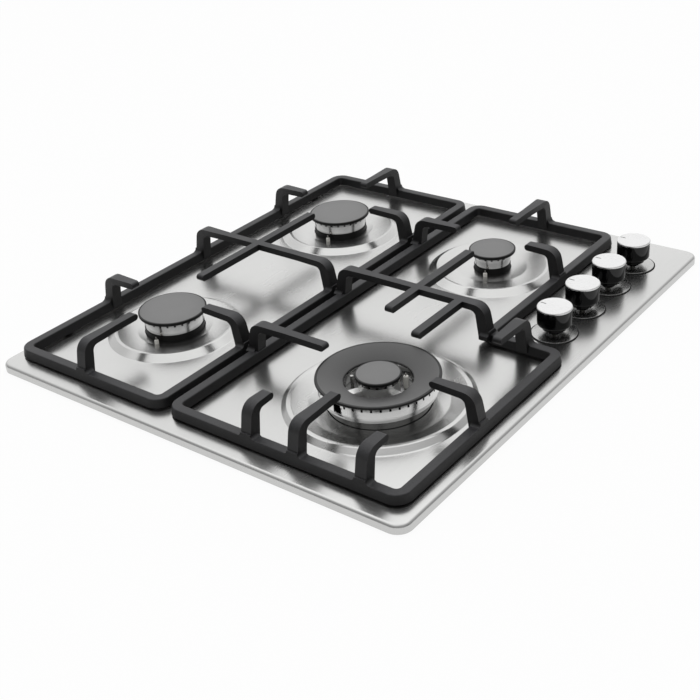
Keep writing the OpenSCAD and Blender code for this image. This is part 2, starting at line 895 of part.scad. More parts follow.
// Burner pots: cast cups with a flange on the plate's hole, a spigot for the tube and air windows
module pot(i) {
    r = pot_r[i];
    cup = cup_r[i];
    dir = spigot_dir[i];
    reach = cup + spigot_out;
    color("#55575a")
        at_burner(i)
            difference() {
                union() {
                    rotate_extrude()
                        polygon([
                            [0, pot_floor_z], [cup, pot_floor_z], [cup, pot_rim_z - pot_wall],
                            [r - pot_wall, pot_rim_z - pot_wall], [r - pot_wall, pot_skirt_z],
                            [r, pot_skirt_z], [r, pot_rim_z], [0, pot_rim_z]
                        ]);
                    straight([0, 0, jet_z], [dir.x * reach, dir.y * reach, jet_z]) circle(spigot_r);
                }
                translate([0, 0, cup_bore_z]) cylinder(r = cup_bore_r[i], h = pot_rim_z - cup_bore_z + over);
                translate([0, 0, chamber_z]) cylinder(r = chamber_r, h = cup_bore_z - chamber_z + over);
                straight([0, 0, jet_z], [dir.x * (reach - over), dir.y * (reach - over), jet_z])
                    circle(gas_way_r);
                straight([dir.x * (reach - tube_socket), dir.y * (reach - tube_socket), jet_z],
                    [dir.x * (reach + over), dir.y * (reach + over), jet_z]) circle(tube_r + run_play);
                for (turn = [0, 180]) rotate([0, 0, pot_screw_angle + turn])
                    translate([pot_screw_out, 0, pot_floor_z - over])
                        cylinder(r = pot_screw_r, h = pot_screw_len - bracket_t + 2 * over);
                for (turn = [0, 90]) rotate([0, 0, pot_screw_angle + turn])
                    translate([-cup - over, -window_w / 2, window_z])
                        cube([2 * cup + 2 * over, window_w, window_h]);
                if (i == WOK) {
                    translate([spark_at[i].x, spark_at[i].y, 0])
                        cylinder(r = insulator_r + loose_play, h = pot_rim_z + over);
                    translate([probe_at[i].x, probe_at[i].y, 0])
                        cylinder(r = probe_r + loose_play, h = pot_rim_z + over);
                }
            }
}

module rear_left_pot() { pot(REAR_LEFT); }
module rear_right_pot() { pot(REAR_RIGHT); }
module small_pot() { pot(SMALL); }
module wok_pot() { pot(WOK); }

// Brass injectors in the pots
module gas_injectors() {
    color("#c9a44c")
        for (i = BURNERS) at_burner(i)
            difference() {
                union() {
                    translate([0, 0, cup_bore_z - injector_shank])
                        cylinder(r = chamber_r - run_play, h = injector_shank + over / 2);
                    translate([0, 0, cup_bore_z]) cylinder(r = injector_hex_r, h = injector_h, $fn = 6);
                }
                translate([0, 0, cup_bore_z - injector_shank - over])
                    cylinder(r = injector_bore_r, h = injector_shank + injector_h / 2 + over);
                translate([0, 0, cup_bore_z])
                    cylinder(r = injector_jet_r, h = injector_h + over);
            }
}

// Burner heads: aluminium bowls with a mixing tube and flame ports cut in their rims
module port_ring(n, r_out, wall, z) {
    for (k = [0:n - 1]) rotate([0, 0, 360 * (k + 1 / 2) / n])
        translate([r_out - wall - over, -port_w / 2, z - port_h])
            cube([wall + 2 * over, port_w, port_h + over]);
}

module head(i) {
    r = head_r[i];
    wall_in = r - head_wall;
    collar = cup_bore_r[i] - slip_play;
    floor_z = pot_rim_z + head_skirt_z;
    color("#c4c6c8")
        at_burner(i)
            difference() {
                rotate_extrude()
                    polygon([
                        [venturi_r, venturi_z], [venturi_r + venturi_wall, venturi_z],
                        [venturi_r + venturi_wall, pot_rim_z - collar_drop],
                        [collar, pot_rim_z - collar_drop], [collar, floor_z],
                        [wall_in, floor_z], [wall_in, pot_rim_z],
                        [r - head_taper, pot_rim_z], [r, head_top_z], [wall_in, head_top_z],
                        [wall_in, floor_z + head_floor_t], [venturi_r, floor_z + head_floor_t]
                    ]);
                port_ring(ports[i], r, head_wall, head_top_z);
            }
}

module rear_left_head() { head(REAR_LEFT); }
module rear_right_head() { head(REAR_RIGHT); }
module small_head() { head(SMALL); }

// Large head: a ring channel round an inner head, joined by three hollow arms
module wok_head() {
    r = wok_head_r;
    floor_z = pot_rim_z + head_skirt_z;
    bowl_z = floor_z + head_floor_t;
    collar = cup_bore_r[WOK] - slip_play;
    color("#c4c6c8")
        at_burner(WOK)
            difference() {
                union() {
                    rotate_extrude($fn = 96)
                        polygon([
                            [ring_in_r, pot_rim_z], [wok_pot_r - ring_seat_in, pot_rim_z],
                            [r - ring_foot_in, pot_rim_z + over / 2], [r, ring_waist_z], [r, ring_top_z],
                            [r - ring_in_wall, ring_top_z], [r - ring_in_wall, bowl_z],
                            [ring_in_r + ring_in_wall, bowl_z],
                            [ring_in_r + ring_in_wall, ring_in_top_z], [ring_in_r, ring_in_top_z]
                        ]);
                    rotate_extrude()
                        polygon([
                            [venturi_r, venturi_z], [venturi_r + venturi_wall, venturi_z],
                            [venturi_r + venturi_wall, pot_rim_z - collar_drop],
                            [collar, pot_rim_z - collar_drop], [collar, pot_rim_z],
                            [inner_head_r, pot_rim_z], [inner_head_r, inner_head_top_z],
                            [inner_head_r - ring_in_wall, inner_head_top_z],
                            [inner_head_r - ring_in_wall, bowl_z], [venturi_r, bowl_z]
                        ]);
                    for (turn = bridge_angles) rotate([0, 0, turn])
                        translate([inner_head_r - ring_in_wall / 2, -bridge_w / 2, pot_rim_z])
                            cube([ring_in_r - inner_head_r + ring_in_wall, bridge_w, bridge_top_z - pot_rim_z]);
                }
                for (turn = bridge_angles) rotate([0, 0, turn])
                    translate([inner_head_r - ring_in_wall - over, 0, bridge_bore_z])
                        rotate([0, 90, 0])
                            cylinder(r = bridge_bore_r,
                                h = ring_in_r - inner_head_r + 2 * ring_in_wall + 2 * over);
                port_ring(wok_ports, r, ring_in_wall, ring_top_z);
                port_ring(inner_ports, inner_head_r, ring_in_wall, inner_head_top_z);
                rotate([0, 0, notch_angle])
                    translate([r - ring_in_wall - over, -notch_w / 2, ring_waist_z])
                        cube([ring_in_wall + 2 * over, notch_w, ring_top_z - ring_waist_z + over]);
            }
}

// Burner caps: enamelled covers with a locating rim below
module round_cap(r, spigot, base_z, thick) {
    top = base_z + thick;
    rotate_extrude()
        polygon([
            [0, base_z], [spigot - cap_spigot_w, base_z],
            [spigot - cap_spigot_w, base_z - cap_spigot_h], [spigot, base_z - cap_spigot_h],
            [spigot, base_z],
            each rounded([[r, base_z], [r, top], [0, top]], [cap_edge, cap_edge, 0])
        ]);
}

module cap(i) {
    color("#8c8c8c")
        at_burner(i) round_cap(cap_r[i], head_r[i] - head_wall - slip_play, head_top_z, cap_t);
}

module rear_left_cap() { cap(REAR_LEFT); }
module rear_right_cap() { cap(REAR_RIGHT); }
module small_cap() { cap(SMALL); }

module wok_centre_cap() {
    color("#8c8c8c")
        at_burner(WOK)
            round_cap(wok_centre_cap_r, inner_head_r - ring_in_wall - slip_play, inner_head_top_z, cap_t);
}

module wok_ring_cap() {
    wall_in = wok_head_r - ring_in_wall;
    lip = wall_in - slip_play;
    inner_z = wok_cap_top_z - ring_dip;
    color("#5a5a5c")
        at_burner(WOK)
            rotate_extrude($fn = 96)
                polygon([
                    [ring_hole_r, ring_in_top_z], [ring_in_r + ring_in_wall + over, ring_in_top_z],
                    [lip - cap_spigot_w, ring_top_z - cap_spigot_h], [lip, ring_top_z - cap_spigot_h],
                    [lip, ring_top_z],
                    each rounded([
                        [wok_cap_r - over, ring_top_z], [wok_cap_r, wok_cap_top_z - wok_cap_t / 2],
                        [wok_head_r, wok_cap_top_z], [ring_hole_r, inner_z]
                    ], [0, over / 2, cap_edge, 0])
                ]);
}

// Spark electrodes: a pin in a ceramic tube with a collar under the sheet
module spark_electrodes() {
    color("#e8e6e0")
        for (i = BURNERS) at_burner(i) translate([spark_at[i].x, spark_at[i].y, 0]) {
            large = i == WOK;
            top = large ? wok_insulator_top_z : insulator_top_z;
            under = large ? pot_rim_z - pot_wall : dish_z - plate_t;
            translate([0, 0, insulator_foot_z]) cylinder(r = insulator_r, h = top - insulator_foot_z);
            translate([0, 0, under - collar_t]) cylinder(r = collar_r, h = collar_t);
            translate([0, 0, top - over])
                cylinder(r = spark_tip_r, h = (large ? wok_spark_tip_z : spark_tip_z) - top + over);
            translate([0, 0, spark_pin_z])
                cylinder(r = spark_pin_r, h = insulator_foot_z - spark_pin_z + over);
        }
}

// Flame probes beside the burners, each with its lead down and along to its tap
module probe_run(i) {
    p = burner_at[i] + probe_at[i];
    foot = top_z + probe_foot_z + over;
    z = probe_lead_z[i];
    tap_x = knob_x[tap_of[i]];
    tap_foot = top_z + tap_foot_z + probe_grip;
    points = i == WOK ? [
        [p.x, p.y, foot], [p.x, p.y, wok_probe_lead_z], [wok_probe_lead_x, p.y, wok_probe_lead_z],
        [wok_probe_lead_x, p.y, z], [wok_probe_lead_x, knob_y, z],
        [tap_x, knob_y, z], [tap_x, knob_y, tap_foot]
    ] : abs(p.x - tap_x) < 2 * lead_bend ? [
        [p.x, p.y, foot], [p.x, p.y, z], [p.x, knob_y, z], [p.x, knob_y, tap_foot]
    ] : [
        [p.x, p.y, foot], [p.x, p.y, z], [p.x, knob_y, z], [tap_x, knob_y, z], [tap_x, knob_y, tap_foot]
    ];
    run(points, lead_bend) circle(probe_lead_r);
}

module flame_probes() {
    color("#b9a58a")
        for (i = BURNERS) {
            large = i == WOK;
            under = large ? pot_rim_z - pot_wall : dish_z - plate_t;
            at_burner(i) translate([probe_at[i].x, probe_at[i].y, 0]) {
                translate([0, 0, probe_foot_z])
                    cylinder(r = probe_r, h = (large ? wok_probe_top_z : probe_top_z) - probe_foot_z);
                translate([0, 0, under - collar_t]) cylinder(r = probe_nut_r, h = collar_t);
            }
            probe_run(i);
        }
}

// Ignition leads from the spark module to the electrodes, with a boot on each pin
module spark_run(i, exit_x) {
    p = burner_at[i] + spark_at[i];
    from = [exit_x, burner_at[REAR_LEFT].y + spark_at[REAR_LEFT].y, box_floor_z + module_h - module_socket];
    up = [from.x, from.y, spark_lead_z];
    end = [p.x, p.y, top_z + boot_foot_z + over];
    foot = [p.x, p.y, spark_lead_z];
    points = i == REAR_RIGHT ? [from, up, foot, end] :
        i == REAR_LEFT ? [
            from, up, [exit_x, spark_lead_turn_y, spark_lead_z],
            [p.x, spark_lead_turn_y, spark_lead_z], foot, end
        ] : [from, up, [exit_x, p.y, spark_lead_z], foot, end];
    run(points, lead_bend) circle(spark_lead_r);
}

module ignition_leads() {
    exits = [-3 * spark_exit, 3 * spark_exit, spark_exit, -spark_exit];
    color("#7a2f25")
        for (i = BURNERS) {
            spark_run(i, exits[i]);
            at_burner(i) translate([spark_at[i].x, spark_at[i].y, boot_foot_z])
                difference() {
                    cylinder(r = boot_r, h = boot_top_z - boot_foot_z);
                    translate([0, 0, spark_pin_z - boot_foot_z])
                        cylinder(r = spark_pin_r + run_play, h = boot_top_z - spark_pin_z + over);
                }
        }
}

// Gas taps: brass bodies saddled on the rail, with an outlet toward the burners
module tap(i) {
    z0 = top_z + tap_foot_z;
    color("#bfa35a")
        translate([knob_x[i], knob_y, 0])
            difference() {
                union() {
                    translate([0, 0, z0]) cylinder(r = tap_r, h = tap_top_z - tap_foot_z);
                    translate([-tap_seat_w / 2, -rail_ahead, top_z + rail_z - tap_seat_h / 2])
                        cube([tap_seat_w, rail_ahead, tap_seat_h]);
                    translate([0, 0, top_z + outlet_z]) rotate([-90, 0, 0])
                        cylinder(r = outlet_r, h = outlet_reach);
                }
                translate([-tap_seat_w, -rail_ahead, top_z + rail_z]) rotate([0, 90, 0])
                    cylinder(r = rail_r + run_play, h = 2 * tap_seat_w);
                translate([0, 0, top_z + plug_foot_z - run_play])
                    cylinder(r = plug_r + run_play, h = plug_top_z - plug_foot_z + 2 * run_play);
                translate([0, 0, top_z + plug_top_z])
                    cylinder(r = spindle_r + loose_play, h = tap_top_z - plug_top_z + over);
                translate([0, -rail_ahead, top_z + rail_z]) rotate([-90, 0, 0])
                    cylinder(r = gas_way_r, h = rail_ahead);
                translate([0, 0, top_z + outlet_z]) rotate([-90, 0, 0])
                    cylinder(r = gas_way_r, h = outlet_reach);
                translate([0, outlet_reach - tube_socket, top_z + outlet_z]) rotate([-90, 0, 0])
                    cylinder(r = tube_r + run_play, h = tube_socket + over);
                translate([0, 0, z0 - over])
                    cylinder(r = probe_lead_r + slip_play, h = probe_grip + 2 * over);
            }
}

module tap_1() { tap(0); }
module tap_2() { tap(1); }
module tap_3() { tap(2); }
module tap_4() { tap(3); }

// Flat of a spindle and of the bores that it drives
module d_round(r, flat, h) {
    intersection() {
        cylinder(r = r, h = h);
        translate([-2 * r, -2 * r, 0]) cube([4 * r, 2 * r + flat, h]);
    }
}

// Turning plugs in the taps, with a groove that joins inlet and outlet when turned
module tap_plug(i) {
    color("#b08f45")
        at_knob(i)
            difference() {
                translate([0, 0, plug_foot_z]) cylinder(r = plug_r, h = plug_top_z - plug_foot_z);
                translate([0, 0, spindle_slot_z])
                    d_round(spindle_r + run_play, spindle_flat + run_play, plug_top_z - spindle_slot_z + over);
                translate([plug_r - groove_d, -groove_w / 2, plug_foot_z + groove_end])
                    cube([groove_d + over, groove_w, plug_top_z - plug_foot_z - 2 * groove_end]);
            }
}

module tap_plug_1() { tap_plug(0); }
module tap_plug_2() { tap_plug(1); }
module tap_plug_3() { tap_plug(2); }
module tap_plug_4() { tap_plug(3); }

module spindle(i) {
    color("#d0d0d2")
        at_knob(i) translate([0, 0, spindle_foot_z])
            d_round(spindle_r, spindle_flat, spindle_top_z - spindle_foot_z);
}

module spindle_1() { spindle(0); }
module spindle_2() { spindle(1); }
module spindle_3() { spindle(2); }
module spindle_4() { spindle(3); }

// Knobs: gloss black bodies on a narrower neck, open below round a hub
module knob(i) {
    top = knob_top_z - knob_disc_t;
    color("#141414")
        at_knob(i)
            difference() {
                rotate_extrude()
                    polygon([
                        [0, knob_neck_foot_z], [knob_neck_r, knob_neck_foot_z],
                        [knob_neck_r, knob_body_foot_z],
                        each rounded([
                            [knob_neck_r + over / 2, knob_body_foot_z], [knob_r, knob_body_foot_z],
                            [knob_r, top], [0, top]
                        ], [0, knob_round, 0, 0])
                    ]);
                translate([0, 0, knob_neck_foot_z - over])
                    d_round(spindle_r + run_play, spindle_flat + run_play,
                        spindle_top_z - knob_neck_foot_z + over + run_play);
                translate([0, 0, knob_neck_foot_z - over])
                    difference() {
                        cylinder(r = knob_neck_r - knob_wall, h = spindle_top_z - knob_neck_foot_z + over);
                        cylinder(r = knob_hub_r, h = spindle_top_z - knob_neck_foot_z + over);
                    }
            }
}

module knob_1() { knob(0); }
module knob_2() { knob(1); }
module knob_3() { knob(2); }
module knob_4() { knob(3); }

// Bright discs on the knobs, with an engraved mark that points back when off
module knob_disc(i) {
    z0 = knob_top_z - knob_disc_t;
    color("#e4e4e4")
        at_knob(i)
            difference() {
                rotate_extrude()
                    polygon([
                        [0, z0], [knob_disc_r, z0], [knob_disc_r, knob_top_z - disc_bevel],
                        [knob_disc_r - disc_bevel, knob_top_z], [0, knob_top_z]
                    ]);
                translate([-mark_w / 2, knob_disc_r - mark_len - mark_in, knob_top_z - mark_depth])
                    cube([mark_w, mark_len, mark_depth + over]);
            }
}

module knob_disc_1() { knob_disc(0); }
module knob_disc_2() { knob_disc(1); }
module knob_disc_3() { knob_disc(2); }
module knob_disc_4() { knob_disc(3); }

// Bezels clipped in the plate round the spindles
module knob_bezels() {
    collar = plate_knob_hole_r - slip_play;
    color("#1a1a1a")
        for (i = [0:3]) at_knob(i)
            rotate_extrude()
                polygon([
                    [bezel_hole_r, -bezel_collar_h], [collar, -bezel_collar_h], [collar, 0], [bezel_r, 0],
                    [bezel_r, bezel_t / 2], [bezel_r - bezel_t, bezel_t], [bezel_hole_r, bezel_t]
                ]);
}

// Supply tubes from the taps to the pots
module supply_tube(points) {
    color("#c3c6c8")
        translate([0, 0, top_z + outlet_z])
            run([for (p = points) [p.x, p.y, 0]], tube_bend_r) pipe_ring(tube_r);
}

tube_start_y = knob_y + outlet_reach - tube_socket;
spigot_end = [for (i = BURNERS) burner_at[i] + (cup_r[i] + spigot_out - tube_socket) * spigot_dir[i]];

module wok_supply_tube() {
    x = knob_x[0];
    supply_tube([[x, tube_start_y], [x, spigot_end[WOK].y], spigot_end[WOK]]);
}

module rear_left_supply_tube() {
    x = knob_x[1];
    supply_tube([
        [x, tube_start_y], [x, tube_turn_y], [spigot_end[REAR_LEFT].x, tube_turn_y], spigot_end[REAR_LEFT]
    ]);
}

module small_supply_tube() {
    x = knob_x[2];
    y = knob_y + small_tube_turn;
    supply_tube([[x, tube_start_y], [x, y], [spigot_end[SMALL].x, y], spigot_end[SMALL]]);
}

module rear_right_supply_tube() {
    x = knob_x[3];
    supply_tube([[x, tube_start_y], [x, spigot_end[REAR_RIGHT].y], spigot_end[REAR_RIGHT]]);
}

// Pan supports: cast frames with posts whose arms reach in over the burners
module bar_section() {
    w = bar_w / 2;
    polygon(rounded([
        [-w - bar_draft, foot_h], [w + bar_draft, foot_h], [w, bar_top_z], [-w, bar_top_z]
    ], [0, 0, bar_round, bar_round], 3));
}

module frame_bars(points) {
    translate([0, 0, top_z]) loop([for (p = points) [p.x, p.y, 0]], grate_corner_r - bar_w / 2) bar_section();
}

// A post on the frame's outer edge at p whose arm runs inward along dir until reach
module finger(p, dir, reach) {
    y = [dir.x, dir.y, 0];
    placed(y, [0, 0, 1], cross(y, [0, 0, 1]), [p.x, p.y, top_z]) {
        intersection() {
            linear_extrude(post_w + over, center = true)
                polygon(rounded([
                    [-post_set, post_foot_z], [post_lean, pan_z], [reach, pan_z], [reach, pan_z - arm_h],
                    [post_depth, pan_z - arm_h], [post_foot_depth, post_foot_z]
                ], [0, shoulder_r, arm_round, arm_round, elbow_r, 0]));
            rotate([-90, 0, 0]) linear_extrude(pan_z + over) arm_plan(reach);
        }
        rotate([0, 90, 0]) linear_extrude(bar_w) flare_section();
    }
}

// Plan of an arm, which narrows from its post
module arm_plan(reach) {
    wide = post_w / 2;
    end = min(reach + over, taper_len);
    thin = wide + (arm_w - post_w) / 2 * (end - post_depth) / (taper_len - post_depth);
    polygon([
        [-over, -wide], [post_depth, -wide], [end, -thin], [reach + over, -thin],
        [reach + over, thin], [end, thin], [post_depth, wide], [-over, wide]
    ]);
}

// Section of a bar's swelling under a post
module flare_section() {
    w = post_w / 2 + post_flare;
    difference() {
        translate([-w, bar_top_z - bar_h / 2]) square([2 * w, post_flare + bar_h / 2]);
        for (side = [-1, 1]) translate([side * w, bar_top_z + post_flare]) circle(post_flare);
    }
}

// An arm between two points at the pans' height, with rounded ends
module arm(a, b) {
    y = unit([b.x - a.x, b.y - a.y, 0]);
    placed(y, [0, 0, 1], cross(y, [0, 0, 1]), [a.x, a.y, top_z + pan_z - arm_h])
        linear_extrude(arm_w, center = true)
            polygon(rounded([[0, 0], [norm(b - a), 0], [norm(b - a), arm_h], [0, arm_h]],
                [arm_round, arm_round, arm_round, arm_round]));
}

rear_outline = [
    for (c = [[-1, 0], [1, 0], [1, 1], [-1, 1]])
        [c.x * (grate_x - bar_w / 2), c.y == 0 ? rear_y0 + bar_w / 2 : rear_y1 - bar_w / 2]
];
front_outline = [
    [-grate_x + bar_w / 2, front_y0 + bar_w / 2], [knob_cutback_x - bar_w / 2, front_y0 + bar_w / 2],
    [knob_cutback_x - bar_w / 2, step_y + bar_w / 2], [grate_x - bar_w / 2, step_y + bar_w / 2],
    [grate_x - bar_w / 2, front_y1 - bar_w / 2], [-grate_x + bar_w / 2, front_y1 - bar_w / 2]
];
foot_x = grate_x - foot_inset;
rear_feet = [
    for (x = [-foot_x, foot_x]) each [[x, rear_outline[0].y], [x, rear_outline[2].y]]
];
front_feet = [
    [-foot_x, front_outline[0].y], [-foot_inset, front_outline[0].y], [foot_x, front_outline[2].y],
    [-foot_x, front_outline[4].y], [foot_x, front_outline[4].y]
];

module peg_holes(at) {
    for (p = at)
        translate([p.x, p.y, top_z + foot_h - over])
            cylinder(r = foot_peg_r + slip_play, h = foot_peg_h + over + slip_play);
}

module rear_grate() {
    arm_y = rear_burner_y + rear_arm_shift;
    half = (rear_y1 - rear_y0) / 2 + 2 * arm_round;
    color("#38383a")
        difference() {
            union() {
                frame_bars(rear_outline);
                for (side = [-1, 1]) {
                    finger([side * grate_x, arm_y], [-side, 0],
                        grate_x - burner_dx - (side < 0 ? ring_left : ring_right));
                    finger([side * burner_dx, rear_y1], [0, -1], rear_y1 - rear_burner_y - ring_rear);
                    finger([side * burner_dx, rear_y0], [0, 1], rear_burner_y - rear_y0 - ring_front);
                }
                finger([0, rear_y1], [0, -1], half);
                finger([0, rear_y0], [0, 1], half);
                arm([-burner_dx + cross_ring, arm_y], [burner_dx - cross_ring, arm_y]);
            }
            peg_holes(rear_feet);
        }
}

module front_grate() {
    wok_y = -wok_front;
    small_y = -small_front;
    wok_reach = grate_x - burner_dx - wok_ring;
    short_reach = grate_x - burner_dx - short_ring;
    back_y = front_y1 + back_post_out;
    half = (front_y1 - step_y) / 2 + 2 * arm_round;
    color("#38383a")
        difference() {
            union() {
                frame_bars(front_outline);
                finger([-grate_x, wok_y + wok_side_rear], [1, 0], short_reach);
                finger([-grate_x, wok_y], [1, 0], wok_reach);
                finger([-grate_x, wok_y - wok_side_front], [1, 0], short_reach);
                finger([-burner_dx, back_y], [0, -1], back_y - wok_y - wok_ring);
                finger([-burner_dx, front_y0], [0, 1], wok_y - wok_ring - front_y0);
                finger([knob_cutback_x, wok_y - wok_side_front], [-1, 0],
                    knob_cutback_x + burner_dx - short_ring);
                finger([small_x, back_y], [0, -1], back_y - small_y - small_ring);
                finger([small_x, step_y], [0, 1], small_y - small_ring - step_y);
                finger([grate_x, small_y], [-1, 0], grate_x - small_x - small_ring);
                finger([front_arm_x, back_y], [0, -1], half + back_post_out);
                finger([front_arm_x, step_y], [0, 1], half);
                arm([-burner_dx + short_ring, small_y], [small_x - small_ring, small_y]);
                arm([-burner_dx + wok_ring, wok_y], [front_arm_x + arm_w / 2, wok_y]);
            }
            peg_holes(front_feet);
        }
}

module grate_feet(at) {
    color("#202020")
        for (p = at) translate([p.x, p.y, top_z]) {
            cylinder(r = foot_r, h = foot_h);
            cylinder(r = foot_peg_r, h = foot_h + foot_peg_h);
        }
}

module rear_grate_feet() { grate_feet(rear_feet); }
module front_grate_feet() { grate_feet(front_feet); }

top_plate();
burner_wells();
perimeter_seal();
burner_box();
box_screws();
worktop_clamps();
clamp_screws();
gas_manifold();
gas_inlet();
cable_gland();
spark_module();
left_burner_bracket();
right_burner_bracket();
pot_screws();
gas_injectors();
tap_1();
tap_2();
tap_3();
tap_4();
tap_plug_1();
tap_plug_2();
tap_plug_3();
tap_plug_4();
spindle_1();
spindle_2();
spindle_3();
spindle_4();
knob_1();
knob_2();
knob_3();
knob_4();
knob_disc_1();
knob_disc_2();
knob_disc_3();
knob_disc_4();
knob_bezels();
wok_supply_tube();
rear_left_supply_tube();
small_supply_tube();
rear_right_supply_tube();
rear_left_pot();
rear_right_pot();
small_pot();
wok_pot();
rear_left_head();
rear_right_head();
small_head();
wok_head();
rear_left_cap();
rear_right_cap();
small_cap();
wok_ring_cap();
wok_centre_cap();
spark_electrodes();
flame_probes();
ignition_leads();
rear_grate();
front_grate();
rear_grate_feet();
front_grate_feet();
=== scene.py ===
"""Looks of a built-in gas cooktop: plate, four burners, two cast pan supports and four knobs.

Every length in the sub-assemblies is in millimetres, with height 0 at the plate's surface. A mesh is turned
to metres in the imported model's frame when it is made.
"""

from __future__ import annotations

import json
import logging
import math
from dataclasses import dataclass, field, replace
from enum import Enum
from typing import Callable, Iterable, Sequence

import bmesh
import bpy
from mathutils import Matrix, Vector

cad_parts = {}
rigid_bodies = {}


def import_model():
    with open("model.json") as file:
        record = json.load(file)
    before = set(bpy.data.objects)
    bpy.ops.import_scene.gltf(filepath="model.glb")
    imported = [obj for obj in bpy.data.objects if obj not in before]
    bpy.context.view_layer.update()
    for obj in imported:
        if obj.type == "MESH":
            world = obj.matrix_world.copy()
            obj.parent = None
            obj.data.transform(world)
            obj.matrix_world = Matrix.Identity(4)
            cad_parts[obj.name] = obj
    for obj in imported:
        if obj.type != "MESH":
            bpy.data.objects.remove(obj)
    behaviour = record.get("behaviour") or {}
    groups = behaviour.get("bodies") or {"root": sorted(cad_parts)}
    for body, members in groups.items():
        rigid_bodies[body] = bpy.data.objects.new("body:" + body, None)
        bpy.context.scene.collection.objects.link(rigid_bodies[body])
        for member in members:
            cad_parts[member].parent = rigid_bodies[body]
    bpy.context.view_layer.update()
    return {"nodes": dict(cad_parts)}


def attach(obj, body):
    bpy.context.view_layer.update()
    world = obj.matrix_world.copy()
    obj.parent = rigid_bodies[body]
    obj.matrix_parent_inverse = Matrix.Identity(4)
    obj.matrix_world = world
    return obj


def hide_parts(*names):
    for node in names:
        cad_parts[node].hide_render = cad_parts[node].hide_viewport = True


LOG = logging.getLogger("cooktop")
# One millimetre in metres
MM = 0.001
# Height of the plate's surface over the model's origin, in millimetres
TOP_Z = 61.0
# Edges that turn by more than this many degrees stay sharp, unless a piece says otherwise
SHARP = 32.0
# Points of a CAD mesh, and of a repeated piece, that are nearer than these many millimetres become one
CAD_WELD = 0.004
PATTERN_WELD = 0.01

Point = tuple[float, float]
Profile = Sequence[Point]
Obj = bpy.types.Object
Material = bpy.types.Material
Tree = bpy.types.NodeTree
Socket = bpy.types.NodeSocket
BMesh = bmesh.types.BMesh
Ring = list[bmesh.types.BMVert]


class Burner(Enum):
    """The four burners, by the name that their bodies and nodes start with."""

    REAR_LEFT = "rear_left"
    REAR_RIGHT = "rear_right"
    SMALL = "small"
    WOK = "wok"


PLACES: dict[Burner, Point] = {
    Burner.REAR_LEFT: (-143.0, 145.0),
    Burner.REAR_RIGHT: (143.0, 145.0),
    Burner.SMALL: (144.0, -72.0),
    Burner.WOK: (-143.0, -125.0),
}


# Mesh tools


def rounded(points: Profile, radii: Sequence[float], steps: int, closed: bool = False) -> list[Point]:
    """Rounds the corners of a line or an outline.

    Args:
        points: corners in order.
        radii: a radius for each corner, 0 to leave it sharp.
        steps: parts of each rounded corner.
        closed: whether the last corner joins the first.

    Returns:
        The points of the rounded line.
    """
    out: list[Point] = []
    count = len(points)
    for i, (point, radius) in enumerate(zip(points, radii)):
        if radius <= 0 or (not closed and i in (0, count - 1)):
            out.append((point[0], point[1]))
            continue
        b = Vector(point)
        u = (Vector(points[i - 1]) - b).normalized()
        w = (Vector(points[(i + 1) % count]) - b).normalized()
        half = math.acos(max(-1.0, min(1.0, u.dot(w)))) / 2
        if half > math.radians(89):
            out.append((point[0], point[1]))
            continue
        centre = b + (u + w).normalized() * radius / math.sin(half)
        first = b + u * radius / math.tan(half) - centre
        last = b + w * radius / math.tan(half) - centre
        start = math.atan2(first.y, first.x)
        sweep = (math.atan2(last.y, last.x) - start + math.pi) % (2 * math.pi) - math.pi
        for k in range(steps + 1):
            a = start + sweep * k / steps
            out.append((centre.x + radius * math.cos(a), centre.y + radius * math.sin(a)))
    return out


def circle(bm: BMesh, radius: float, z: float, at: Point, parts: int) -> Ring:
    """Adds the points of a level circle.

    Args:
        bm: the mesh that takes them.
        radius: the circle's radius.
        z: its height.
        at: its centre.
        parts: number of points.

    Returns:
        The points in turn.
    """
    angles = (2 * math.pi * k / parts for k in range(parts))
    return [bm.verts.new((at[0] + radius * math.cos(a), at[1] + radius * math.sin(a), z)) for a in angles]


def band(bm: BMesh, first: Ring, second: Ring) -> list[bmesh.types.BMFace]:
    """Joins two rings with faces, as a fan where one of them is a single point.

    Args:
        bm: the mesh that takes the faces.
        first: one ring.
        second: the other ring.

    Returns:
        The new faces, none between two single points.
    """
    count = max(len(first), len(second))
    faces = []
    for k in range(count if count > 1 else 0):
        n = (k + 1) % count
        corners = (
            first[k % len(first)], first[n % len(first)], second[n % len(second)], second[k % len(second)],
        )
        faces.append(bm.faces.new(tuple(dict.fromkeys(corners))))
    return faces


def border(bm: BMesh, ring: Ring) -> list[bmesh.types.BMEdge]:
    """Gives the edges round a ring, and adds those that no face has made."""
    pairs = zip(ring, ring[1:] + ring[:1])
    return [bm.edges.get(pair) or bm.edges.new(pair) for pair in pairs]


def placed(name: str, data: bpy.types.ID) -> Obj:
    """Puts new data in the scene as an object at the origin.

    Args:
        name: name of the object.
        data: its mesh, lamp or camera.

    Returns:
        The new object.
    """
    obj = bpy.data.objects.new(name, data)
    bpy.context.scene.collection.objects.link(obj)
    return obj


def shade(mesh: bpy.types.Mesh, sharp: float) -> None:
    """Shades a mesh smooth, up to edges that turn by more than sharp degrees."""
    mesh.shade_smooth()
    mesh.set_sharp_from_angle(angle=math.radians(sharp))


def finish_mesh(name: str, bm: BMesh, material: Material, sharp: float = SHARP) -> Obj:
    """Turns a mesh in millimetres over the plate into an object in metres.

    Args:
        name: name of the piece.
        bm: the mesh, freed here.
        material: its finish.
        sharp: limit of smooth shading in degrees.

    Returns:
        The new object, at the origin.
    """
    bmesh.ops.scale(bm, vec=(MM, MM, MM), verts=bm.verts)
    bmesh.ops.translate(bm, vec=(0, 0, TOP_Z * MM), verts=bm.verts)
    mesh = bpy.data.meshes.new(name)
    bm.to_mesh(mesh)
    bm.free()
    shade(mesh, sharp)
    mesh.materials.append(material)
    return placed(name, mesh)


